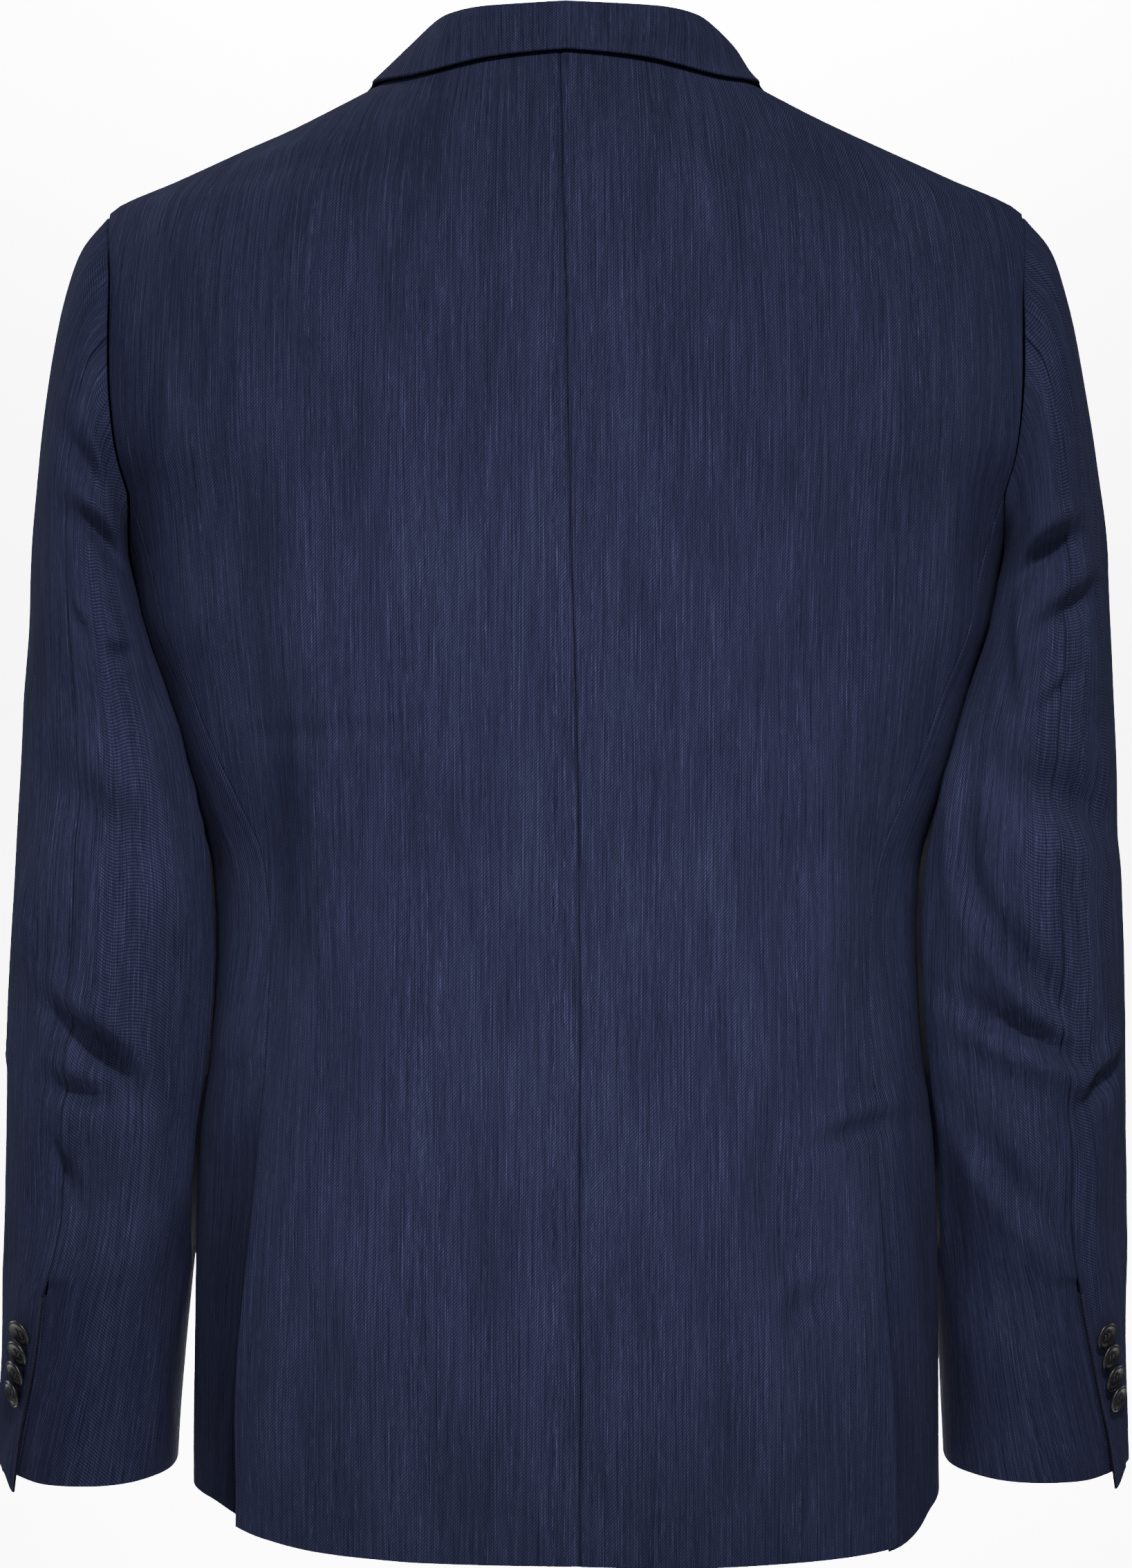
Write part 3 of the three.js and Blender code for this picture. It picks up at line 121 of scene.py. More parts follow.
# How far out each sleeve's outer and inner end lie from their sections
SLEEVE_SWING = table(
    "at leftOut leftIn rightOut rightIn",
    (0, 0, 0, 0, 0), (2, -0.7, 0, 0, 0), (3, -2, 0, -0.4, 0), (4, -3.4, 0, -0.4, 0),
    (5, -5.2, 0, -0.4, 0), (6, -6, 0, -0.8, 0), (7, -5.4, 0, -0.6, 0), (8, -4.3, 0, 0, 0),
    (9, -3.2, 0, -0.2, 0), (10, -2, 0, 0.3, 0), (11, -1, 0, 1.2, 0), (12, 0.6, 0, 2.3, 0),
    (13, 1.7, 0.4, 2.8, 0), (15, 2.8, 1.5, 2.8, 0), (16, 3.8, 2.2, 3.3, -0.5),
    (17, 4.9, 2.8, 4.2, -1), (18, 5.5, 3.4, 5.2, -1),
)
SLEEVE_FIT = table("i keep", (0, 1), (1, 0.62), (2, 0.34), (3, 0.16), (4, 0.06), (5, 0))
SLEEVE_BEND, SLEEVE_CLEAR, RIGHT_SLEEVE_FORWARD = 2.15, 1.8, 12.0
CUFF_VENT_SECTION, LAST_SECTION = 15.0, 18.0
CUFF_LAP_TURN = 24.0
CUFF_CORNER = {"drop": 8.0, "wide": 0.2, "from": 17.0}  # the vent's corner, which hangs down
SLEEVE_ROUND = 60.0  # mm of cloth for a radian round a sleeve

# The collar's left half, centre back to gorge: the stand's seam, the fold and the leaf's edge
COLLAR = table(
    "at seamAngle seamZ foldX foldY foldZ edgeAngle edgeZ",
    (0, 0, 18, 0, 70, 38, 0, 9.5), (1, 35, 18.2, 38, 62, 37, 29, 7),
    (2, 64, 18.6, 59, 38, 37, 60, 2), (3, 90, 19, 69, 4, 35, 90, 5),
    (4, 112, 9, 70, -27, 22, 100, -9), (5, 124, -8, 67, -50, 0, 105, -22),
    (6, 134, -25, 62, -70, -22, 108.5, -31),
)
COLLAR_LEAN = {"wide": 6, "low": 9, "high": 28, "front": -50, "back": 0}  # wider on the right
NOTCH, LAPEL_CORNER, LAPEL_BELLY, GORGE_GAP = (103.0, -53.0), (137.0, -77.0), 17.0, 1.1
# The right lapel ends higher, where it goes under the left front: its end, where it starts to
# tuck in and is all in, and how far past the middle it goes
RIGHT_LAPEL = {"low": -330.0, "tuck": (-232, -254), "past": 9.5}
ROLL = table("along high", (-3.2, -1.6), (-3.6, 0.8), (-2.0, 3.6), (2.0, 5.2))
FLAP = {"from": 153, "to": 103, "top": -507, "wide": 150, "deep": 54, "slant": 6, "round": 14}
WELT = {"from": 101, "to": 180, "bottom": -204, "deep": 23, "slant": 13}
CUFF_BUTTON = {"radius": 7.4, "thick": 2.6, "lean": 17.0, "in": 11.0, "foot": 0.72, "off": 0.4}
CUFF_BUTTON_HEIGHTS = {"left": (-627, -638, -649, -660), "right": (-631, -642, -653, -664)}
FRONT_BUTTON = {"radius": 10.0, "thick": 3.0, "off": 0.5}
FRONT_BUTTON_HEIGHTS = {"top": -368.0, "low": -468.0}

# Folds. deep is how far in, or out below nought; wide is across the fold and run along it; lean
# is the run's angle from upright; curl bends the run; lip is the ridge beside it, RIDGE_AWAY widths
# off. On the sleeves x is how far round they lie, in degrees
RIDGE_AWAY = 1.7
FOLD_COLUMNS = "x z deep wide run lean curl lip"
BODY_FOLDS = table(
    FOLD_COLUMNS,
    (-128, -265, 8.5, 30, 80, 6, 0, 0), (-112, -575, 5.6, 15, 50, -12, 0, 0.2),
    (-121, -605, 3.4, 7, 13, 62, 0, 0.5), (-146, -521, 3.6, 5, 22, 77, 0.3, 0.6),
    (147, -610, -3.6, 15, 90, 4, 0, 0), (100, -610, -3.1, 15, 90, 2, 0, 0),
    (118, -325, 1.4, 5, 46, 87, 0.2, 0.5), (142, -35, -2.1, 5, 22, 75, 0.2, 0.3),
    (-112, -17, -2.7, 6, 24, -56, 0.2, 0.4), (-150, -62, 1.8, 8, 36, -60, 0, 0.3),
    (150, -190, 1.8, 20, 66, 6, 0, 0), (55, -430, 1.7, 26, 80, 4, 0, 0),
    (158, -385, 13, 26, 150, -3, 0, 0), (-162, -400, 7, 22, 120, 2, 0, 0),
    (-62, -470, 2, 22, 70, -6, 0, 0), (-30, -140, 1.4, 24, 60, 12, 0, 0),
)
FRONT_FOLDS = table(
    FOLD_COLUMNS,
    (150, -285, 2.2, 14, 46, 24, 0, 0.2), (-160, -300, 2.4, 13, 44, -20, 0, 0.2),
    (96, -400, 1.8, 7, 40, -64, 0.2, 0.4), (-92, -410, 2, 8, 38, 60, 0.2, 0.4),
    (132, -640, -2.2, 16, 60, 3, 0, 0), (-128, -640, -2.4, 15, 60, -4, 0, 0),
)
SLEEVE_FOLDS = {
    "left": table(
        FOLD_COLUMNS,
        (92, -193, 7.6, 7.9, 30, 50, 0.4, 0.5), (107, -226, 10.2, 7.2, 31, 64, 0.5, 0.6),
        (83, -270, 4.5, 4, 9, 40, 0, 0.5), (111, -285, 4.5, 4, 11, 86, 0, 0.5),
        (90, -367, 8.4, 13.8, 37, 56, 0, 0.3), (90, -481, 13.7, 6.9, 32, 50, 0.4, 0.6),
        (83, -504, 6.7, 5.8, 21, 76, 0, 0.5), (73, -539, 4.5, 5, 18, 27, 0, 0.4),
        (40, -420, -4.2, 7, 25, 11, 0, 0), (25, -489, -2, 5, 11, 31, 0, 0.3),
        (-60, -440, 7.5, 7, 24, 60, 0.3, 0.5), (-75, -470, 9.5, 6.9, 30, 72, 0.4, 0.5),
        (-40, -210, 4.9, 7, 24, 30, 0.3, 0.4), (-95, -260, 6.3, 10.4, 34, 58, 0, 0.4),
    ),
    "right": table(
        FOLD_COLUMNS,
        (90, -233, 11.0, 7.2, 28, 70, 0.4, 0.6), (69, -261, 7.4, 6.7, 29, 69, 0.2, 0.5),
        (105, -286, -5.3, 5, 26, -22, 0, 0.3), (70, -357, 10.5, 13.8, 41, -73, 0, 0.3),
        (123, -380, 6.3, 6.9, 41, -6, 0, 0.4), (93, -438, 10.5, 6.9, 41, -37, 0.3, 0.5),
        (90, -476, 11.6, 6.9, 34, -65, 0, 0.6), (48, -500, 7.5, 5.5, 22, 60, 0, 0.5),
        (101, -553, 5.9, 8.1, 39, -39, 0, 0.4), (76, -303, 3.8, 4, 12, 50, 0, 0.5),
        (-62, -430, 8.8, 8.1, 30, -58, 0.3, 0.5), (-78, -476, 9.3, 6.9, 30, 70, 0.4, 0.5),
        (-45, -220, 5.3, 7, 22, -34, 0.3, 0.4), (-92, -280, 6.3, 10.4, 34, 60, 0, 0.4),
    ),
}


def read(rows, key, at, by="z"):
    """A table's column at any places: cubic pieces whose slope at a row is the harmonic mean of
    the slopes on its two sides, or nought where those differ in sign, so it never overshoots."""
    x, y = rows[by], rows[key]
    at = np.clip(np.asarray(at, float), x[0], x[-1])
    secant = np.diff(y) / np.diff(x)
    below, above = secant[:-1], secant[1:]
    both = below * above
    inner = np.where(both > 0, 2 * both / np.where(both > 0, below + above, 1), 0)
    slope = np.concatenate([secant[:1], inner, secant[-1:]])
    i = np.clip(np.searchsorted(x, at, side="left") - 1, 0, len(x) - 2)
    span = x[i + 1] - x[i]
    t = (at - x[i]) / span
    share = t * t * (3 - 2 * t)
    bow = t * (1 - t) * (1 - t) * slope[i] - t * t * (1 - t) * slope[i + 1]
    return y[i] * (1 - share) + y[i + 1] * share + span * bow


def ease(start, end, at):
    """0 at start and 1 at end, with a soft start and end. start may be the higher."""
    t = np.clip((np.asarray(at, float) - start) / (end - start), 0, 1)
    return t * t * (3 - 2 * t)


def unit(v):
    """The vectors at length one."""
    return v / np.maximum(np.linalg.norm(v, axis=-1, keepdims=True), 1e-9)


def folds_at(folds, across, z):
    """The depth of all folds at some points. A fold is a trough, Gaussian across and along its
    run, whose line bends by curl, with a softer ridge on its upper side."""
    total = np.zeros(np.broadcast(across, z).shape)
    for k in range(len(folds["z"])):
        f = {name: column[k] for name, column in folds.items()}
        lean = math.radians(f["lean"])
        dx, dz = across - f["x"], z - f["z"]
        down = (dz * math.cos(lean) - dx * math.sin(lean)) / f["run"]
        side = (dx * math.cos(lean) + dz * math.sin(lean)) / f["wide"] + f["curl"] * down**2
        trough = np.exp(-(side**2)) - f["lip"] * np.exp(-((side - RIDGE_AWAY) ** 2))
        total = total + f["deep"] * np.exp(-(down**2)) * trough
    return total


def waves(seed, count, across, along, high):
    """Random sine waves over a piece of cloth: wavelengths across and along it, phases, heights."""
    rng = np.random.default_rng(seed)
    over = rng.choice((-1, 1), count) / rng.uniform(*across, count)
    return over, 1 / rng.uniform(*along, count), rng.uniform(0, 1, count), high


UNEVEN = {
    "body": waves(5, 16, (36, 90), (110, 400), 0.34),
    "left": waves(11, 14, (30, 70), (50, 190), 0.36),
    "right": waves(23, 14, (30, 70), (50, 190), 0.36),
}


def uneven(which, across, z):
    """How far the cloth lies in or out of its true form, as the sum of its waves."""
    over, up, phase, high = UNEVEN[which]
    total = 0
    for k in range(len(phase)):
        total = total + high * np.sin(2 * np.pi * (across * over[k] + z * up[k] + phase[k]))
    return total


def body_point(angle, z):
    """The body's form without folds: at each height a superellipse round the Z axis, whose radius
    is (|sin/half|^bend + |cos/depth|^bend)^(-1/bend), by the angle from the centre back."""
    s, c = np.sin(np.radians(angle)), np.cos(np.radians(angle))
    bend = read(RINGS, "bend", z)
    depth = np.where(c >= 0, read(RINGS, "back", z), read(RINGS, "front", z))
    reach = (np.abs(s) / read(RINGS, "half", z)) ** bend + (np.abs(c) / depth) ** bend
    r = reach ** (-1 / bend)
    return np.stack(np.broadcast_arrays(r * s, r * c, z), -1)


def body_normal(angle, z):
    """The form's outward normal, from points 2 degrees and 3 mm to each side."""
    along = body_point(angle + 2, z) - body_point(angle - 2, z)
    up = body_point(angle, z + 3) - body_point(angle, z - 3)
    return unit(np.cross(up, along))


def angle_at(x, z, front=False):
    """The angle of the form's point that lies at x, on its back or its front."""
    bend = read(RINGS, "bend", z)
    share = np.minimum(1, np.abs(x) / read(RINGS, "half", z))
    y = read(RINGS, "front" if front else "back", z) * (1 - share**bend) ** (1 / bend)
    angle = np.degrees(np.arctan2(x, -y if front else y))
    return np.where(angle < 0, angle + 360, angle) if front else angle


def row_height(key, row, angle):
    """A row's real height: near the hem the rows follow the hem's line of that side."""
    share = np.clip((HEM_FADE - row) / (HEM_FADE - HEM), 0, 1)
    return row + (read(HEM_LINE, key, np.abs(angle), "angle") - HEM) * share

# Where the folds of the back and the front fade out at the sides, by angle, and where the
# unevenness fades in from the neck and the hem, by height
BACK_FADE, FRONT_FADE = (96, 84), (98, 110)
NECK_CALM, HEM_CALM = (0, -40), (-722, -690)


def body_cloth(side, angle, z, lift=0.0):
    """Points of the body's cloth, worked out on the left, moved in or out by the folds and the
    unevenness of its own side. The unevenness fades to the neck, the hem and the outline."""
    p, n = body_point(angle, z), body_normal(angle, z)
    across, up = side * p[..., 0], p[..., 2]
    inward = folds_at(BODY_FOLDS, across, up) * ease(*BACK_FADE, angle)
    inward = inward + folds_at(FRONT_FOLDS, across, up) * ease(*FRONT_FADE, angle)
    calm = ease(*NECK_CALM, z) * ease(*HEM_CALM, z) * np.abs(np.cos(np.radians(angle))) ** 0.5
    inward = inward + uneven("body", across + 0.6 * p[..., 1], z) * calm
    return p + n * (lift - inward)[..., None]


def seam_end(row, front):
    """Brings a side seam smoothly to the armhole's corner."""
    corner = angle_at(read(ARMHOLE, "front" if front else "back", ARMHOLE_CORNER), ARMHOLE_CORNER, front)
    start = read(BODY_SEAMS, "dart" if front else "vent", ARMHOLE_CORNER)
    return (corner - start) * ease(-330, ARMHOLE_CORNER, row)


def outer_angle(row, front):
    """A back's or front's outer edge: its side seam, then the armhole, then the shoulder seam."""
    seam = read(BODY_SEAMS, "dart" if front else "vent", row) + seam_end(row, front)
    hole = angle_at(read(ARMHOLE, "front" if front else "back", row), row, front)
    return np.where(row < ARMHOLE_CORNER, seam, np.where(row < SHOULDER_TIP, hole, 90.0))


def underarm_height(share):
    """The armhole's height under the arm, which sinks as a sine to its lowest place half way."""
    return ARMHOLE_CORNER + (UNDERARM - ARMHOLE_CORNER) * np.sin(np.pi * np.clip(share, 0, 1)) ** 0.8


def armhole_spot(lap):
    """The armhole by its own measure: 0 to 1 down the back edge, to 2 under the arm, to 3 up the
    front edge. Gives the angle and height on the body's form."""
    down = np.where(lap <= 1, lap, np.where(lap >= 2, 3 - lap, 1))
    z = SHOULDER_TIP + (ARMHOLE_CORNER - SHOULDER_TIP) * down
    back = angle_at(read(ARMHOLE, "back", z), z)
    front = angle_at(read(ARMHOLE, "front", z), z, True)
    share = np.clip(lap - 1, 0, 1)
    under = (lap > 1) & (lap < 2)
    angle = np.where(lap <= 1, back, np.where(lap >= 2, front, back + (front - back) * share))
    return angle, np.where(under, underarm_height(share), z)


def lap_of(z):
    """How far down the armhole a height lies, 0 to 1."""
    return (SHOULDER_TIP - z) / (SHOULDER_TIP - ARMHOLE_CORNER)


def section_point(s, turn):
    """A point of a sleeve's section: a superellipse from its inner to its outer end and from
    front to back, lower at the back by tip."""
    c, v = np.cos(np.radians(turn)), np.sin(np.radians(turn))
    out = np.sign(c) * np.abs(c) ** (2 / SLEEVE_BEND)
    back = np.sign(v) * np.abs(v) ** (2 / SLEEVE_BEND) * s["half"]
    x = (s["outX"] + s["inX"]) / 2 + out * (s["outX"] - s["inX"]) / 2
    z = (s["outZ"] + s["inZ"]) / 2 + out * (s["outZ"] - s["inZ"]) / 2 - s["tip"] * back
    return np.stack(np.broadcast_arrays(x, s["midY"] + back, z), -1)


def section(at):
    """A sleeve's section at some place down its table."""
    return {key: read(SLEEVE, key, at, "i") for key in SLEEVE if key != "i"}


def section_middle(s, z):
    """The point between a section's outer and inner end, at the heights z."""
    return np.stack(np.broadcast_arrays((s["outX"] + s["inX"]) / 2, s["midY"], z), -1)


def turn_of(p):
    """How far round the sleeve's first section a point of the armhole lies, in degrees."""
    s = section(0.0)
    axis = np.array([s["outX"] - s["inX"], 0, s["outZ"] - s["inZ"]]) / 2
    d = p - section_middle(s, (s["outZ"] + s["inZ"]) / 2)
    turn = np.degrees(np.arctan2(d[..., 1] / s["half"], d @ axis / (axis @ axis)))
    return np.where(turn < -90, turn + 360, turn)


SEAM_LAPS = {"back": lap_of(-127.0), "front": 3 - lap_of(-185.0)}
SEAM_TURN = float(turn_of(body_point(*armhole_spot(SEAM_LAPS["back"]))))


def sleeve_point(key, at, lap, more=0.0):
    """Points of a sleeve, worked out on the left: its sections, drawn towards the armhole's real
    edge near the top, moved in or out by folds and unevenness, and kept clear of the body. lap
    says how far round the armhole they hang from, and more turns them on from there."""
    at, lap = np.asarray(at, float), np.asarray(lap, float)
    start = body_point(*armhole_spot(lap))
    turn = turn_of(start)
    turn = np.where((lap > 1.6) & (turn < 90), turn + 360, turn)
    s = section(at)
    s["outX"] = s["outX"] + read(SLEEVE_SWING, key + "Out", at, "at")
    s["inX"] = s["inX"] + read(SLEEVE_SWING, key + "In", at, "at")
    if key == "right":
        s["midY"] = s["midY"] - RIGHT_SLEEVE_FORWARD * ease(0, 6, at)
    near = np.where(turn < SEAM_TURN, turn / SEAM_TURN, 1 - (turn - SEAM_TURN) / (180 - SEAM_TURN))
    p = section_point(s, turn + s["turn"] * np.clip(near, 0, None) + more)
    keep = np.asarray(read(SLEEVE_FIT, "keep", at, "i"))[..., None]
    p = p + (start - section_point(section(0.0), turn)) * keep
    folds = SLEEVE_FOLDS[key]
    folds = {**folds, "x": np.radians(folds["x"]) * SLEEVE_ROUND}
    round_it = np.radians((turn + more + 180) % 360 - 180)
    deep = folds_at(folds, round_it * SLEEVE_ROUND, p[..., 2])
    deep = deep + np.abs(np.sin(round_it)) * uneven(key, SLEEVE_ROUND * np.sin(round_it), p[..., 2])
    p = p + unit(section_middle(s, p[..., 2]) - p) * (deep * ease(0, 2, at))[..., None]
    clear = reach_of(under(p)) + SLEEVE_CLEAR * np.minimum(1, at)
    push = np.where((at > 0) & (reach_of(p) < clear), clear / reach_of(p), 1)
    p[..., :2] *= push[..., None]
    return p


def spread(count, edge, span):
    """Shares from 0 to 1 along a line of length span, close together by its two ends."""
    edge = np.array(edge) / span
    middle = np.linspace(edge[-1], 1 - edge[-1], count)
    return np.concatenate([edge[:-1], middle, 1 - edge[:-1][::-1]])


FINE_EDGE = (0, 0.12, 0.35, 0.7, 1.1, 1.6, 2.4, 3.6, 5.5)
SEAM_SHADE = 0.9  # how far from a seam the painted shade in its groove reaches
# The rounding of cloth's edges, and how much wider and deeper it is at a full seam
ROUNDING = {"wide": 1.0, "deep": 0.4 * WALL, "seam wide": 1.8, "seam deep": 0.7}


def along_grid(points, axis):
    """Distance from the grid's first row or column to each point, along the grid."""
    step = np.linalg.norm(np.diff(points, axis=axis), axis=-1)
    start = np.zeros_like(np.take(step, [0], axis=axis))
    return np.concatenate([start, np.cumsum(step, axis=axis)], axis=axis)


def dip(distance, radius, depth):
    """How far a rounded edge lies below the cloth's face: a quarter of a circle."""
    t = np.clip(1 - distance / radius, 0, 1)
    return depth * (1 - np.sqrt(np.clip(1 - t * t, 0, 1)))


def hollow(p, n, step=2):
    """How deep each point lies, in mm, below the mean of its neighbours two rows and two columns
    away. It is above nought in the troughs of folds."""
    total = 0
    for axis in (0, 1):
        i = np.arange(p.shape[axis])
        before, after = (np.take(p, np.clip(i + k, 0, i[-1]), axis) for k in (-step, step))
        both = ((i >= step) & (i <= i[-1] - step)).reshape((-1, 1) if axis == 0 else (1, -1))
        total = total + np.sum(((before + after) / 2 - p) * n, axis=-1) * both
    return np.clip(total, 0, None)


FOLD_SHADE = {"full": 7.0, "most": 0.34}  # painted shade in the troughs of folds, where less light reaches: at its most from this depth on


def reach_of(p):
    """How far points lie from the Z axis."""
    return np.hypot(p[..., 0], p[..., 1])


def under(p):
    """The body's points in the same direction from the Z axis and at the same height."""
    return body_point(np.degrees(np.arctan2(p[..., 0], p[..., 1])), p[..., 2])


def facing(points, outward):
    """Normals of a grid of points, from its differences both ways, turned where that makes the
    middle one look outward, and whether they were turned."""
    n = unit(np.cross(np.gradient(points, axis=0), np.gradient(points, axis=1)))
    turned = n[points.shape[0] // 2, points.shape[1] // 2] @ outward < 0
    return (-n if turned else n), turned


def cloth(name, points, uv, outward, seams=(), shade=0.0):
    """A piece of cloth as a closed shell. points is its face, as a grid of rows and columns, and
    outward a direction that its face looks in at the grid's middle. Its four edges are rounded,
    and those in seams are drawn in deeper by their strength, 0 to 1, as where cloth is sewn, with
    painted shade in their grooves. shade is painted shade on it where other cloth lies close over
    it, and the troughs of its folds get painted shade too."""
    seams = dict(seams)
    n, turned = facing(points, outward)
    # Painted shade: the troughs of folds, the grooves of seams and the parts under other cloth are darkened
    # in colour
    troughs = np.minimum(hollow(points, n) / FOLD_SHADE["full"], 1) * FOLD_SHADE["most"]
    painted_shade = np.maximum(troughs, shade)
    down, across = along_grid(points, 0), along_grid(points, 1)
    away = {"low": down, "high": down[-1:] - down, "first": across, "last": across[:, -1:] - across}
    sink = rise = 0
    for edge, far in away.items():
        strength = seams.get(edge, 0)
        rise = np.maximum(rise, dip(far, ROUNDING["wide"], ROUNDING["deep"]))
        wide = ROUNDING["wide"] + ROUNDING["seam wide"] * strength
        sink = np.maximum(sink, dip(far, wide, ROUNDING["deep"] * (1 + ROUNDING["seam deep"] * strength)))
        painted_shade = np.maximum(painted_shade, strength * np.exp(-((far / SEAM_SHADE) ** 2)))
    uv = uv + np.array([sum(map(ord, name)) * 7.3, len(name) * 31.7])
    piece = shell(name, points - n * sink[..., None], points - n * (WALL - rise)[..., None], uv, turned)
    values = np.concatenate([painted_shade.ravel(), 0 * painted_shade.ravel()]).astype(np.float32)
    piece.data.attributes.new("PaintedShade", "FLOAT", "POINT").data.foreach_set("value", values)
    return piece


def quads(shape, ring=False):
    """Faces of grids of points, by number. In a ring the last column joins the first."""
    index = np.arange(np.prod(shape)).reshape(shape)
    here, after = (index, np.roll(index, -1, -1)) if ring else (index[..., :-1], index[..., 1:])
    corners = here[..., :-1, :], after[..., :-1, :], after[..., 1:, :], here[..., 1:, :]
    return np.stack(corners, -1).reshape(-1, 4)


def shell(name, outer, inner, uv, turned):
    """A closed mesh of two grids: face, back, and a band round the rim that joins them."""
    rows, columns = outer.shape[:2]
    count = rows * columns
    index = np.arange(count).reshape(rows, columns)
    face = quads((rows, columns))
    rim = np.concatenate([index[0, :], index[1:, -1], index[-1, -2::-1], index[-2:0:-1, 0]])
    after = np.roll(rim, -1)
    band = np.stack([rim, after, after + count, rim + count], -1)
    if turned:
        band = band[:, ::-1]
    else:
        face = face[:, ::-1]
    faces = np.concatenate([face, face[:, ::-1] + count, band])
    both = np.concatenate([outer.reshape(-1, 3), inner.reshape(-1, 3)])
    return mesh_object(name, both, faces, np.concatenate([uv.reshape(-1, 2)] * 2))


def mesh_object(name, points, faces, uv=None):
    """An object of quads at the origin, in metres, smooth, with its cloth measure as a UV map."""
    mesh = bpy.data.meshes.new(name)
    mesh.vertices.add(len(points))
    mesh.vertices.foreach_set("co", (points * MM).ravel().astype(np.float32))
    mesh.loops.add(faces.size)
    mesh.loops.foreach_set("vertex_index", faces.ravel().astype(np.int32))
    mesh.polygons.add(len(faces))
    mesh.polygons.foreach_set("loop_start", np.arange(0, faces.size, 4, dtype=np.int32))
    mesh.update(calc_edges=True)
    mesh.polygons.foreach_set("use_smooth", np.ones(len(faces), bool))
    if uv is not None:
        layer = mesh.uv_layers.new(name="ClothMeasure")
        layer.data.foreach_set("uv", (uv[faces.ravel()] * MM).ravel().astype(np.float32))
    mesh.validate(clean_customdata=False)
    piece = bpy.data.objects.new(name, mesh)
    bpy.context.scene.collection.objects.link(piece)
    return piece


def mirrored(points, side):
    """Points worked out on the left, on the side where they belong."""
    return points * np.array([side, 1, 1])


# Colours, as sRGB hex
INK, NAVY, STEEL = "17172a", "30314b", "5b5d84"
# The first of the next two is the near black that painted shade mixes into the cloth; the second tints the
# cloth's sheen
PAINTED_SHADE_DARK, NAP = "07080d", "8f97b8"
HORN, HORN_LIGHT = "141417", "2a292d"
THREAD, THREAD_LIGHT = "1d1a2a", "3a3550"
PAPER, PAPER_DULL = "f4f4f4", "f0f0f0"


def linear(hex_colour):
    """A colour node's value from an sRGB hex colour."""
    srgb = [int(hex_colour[k : k + 2], 16) / 255 for k in (0, 2, 4)]
    return (*[c / 12.92 if c <= 0.04045 else ((c + 0.055) / 1.055) ** 2.4 for c in srgb], 1.0)


def add(tree, kind, out=None, inputs=(), **settings):
    """Adds a node with its settings and gives its output of that name, or the node without one.
    inputs gives its sockets values, or links from sockets."""
    node = tree.nodes.new(kind)
    for key, value in settings.items():
        setattr(node, key, value)
    for key, value in dict(inputs).items():
        if isinstance(value, bpy.types.NodeSocket):
            tree.links.new(value, node.inputs[key])
        else:
            node.inputs[key].default_value = value
    return node if out is None else node.outputs[out]


def blank(name):
    """A new material and its empty node tree."""
    material = bpy.data.materials.new(name)
    material.use_nodes = True
    tree = material.node_tree
    tree.nodes.clear()
    return material, tree


def finish(tree, inputs, height=None, strength=0.0, deep=0.0):
    """Ends a material: bumps by a height, the surface with its inputs, and the output."""
    if height is not None:
        bump = {"Height": height, "Strength": strength, "Distance": deep}
        inputs = {**inputs, "Normal": add(tree, "ShaderNodeBump", "Normal", bump)}
    surface = add(tree, "ShaderNodeBsdfPrincipled", "BSDF", inputs)
    add(tree, "ShaderNodeOutputMaterial", None, {"Surface": surface})


def ramp(tree, value, stops):
    """A colour ramp with the given (place, hex colour) stops."""
    node = add(tree, "ShaderNodeValToRGB", None, {"Fac": value})
    elements = node.color_ramp.elements
    while len(elements) < len(stops):
        elements.new(0.5)
    for element, (place, colour) in zip(elements, stops):
        element.position = place
        element.color = linear(colour)
    return node.outputs["Color"]


# The cloth's noises: width across the threads and length along them in metres, detail, roughness
# and offset. streaks are the lighter warp threads
YARN_NOISES = {
    "push": (0.0013, 40.0, 1.0, 0.6, 21.3), "streaks": (0.0009, 0.04, 2.0, 0.55, 3.7),
    "fine": (0.0006, 0.005, 2.0, 0.6, 11.3), "drift": (0.03, 0.11, 2.0, 0.5, 7.1),
}
TWILL_PITCH, WAVE_PITCH = 0.0012, 0.3142  # from wale to wale, and a wave texture's at scale 1, in metres


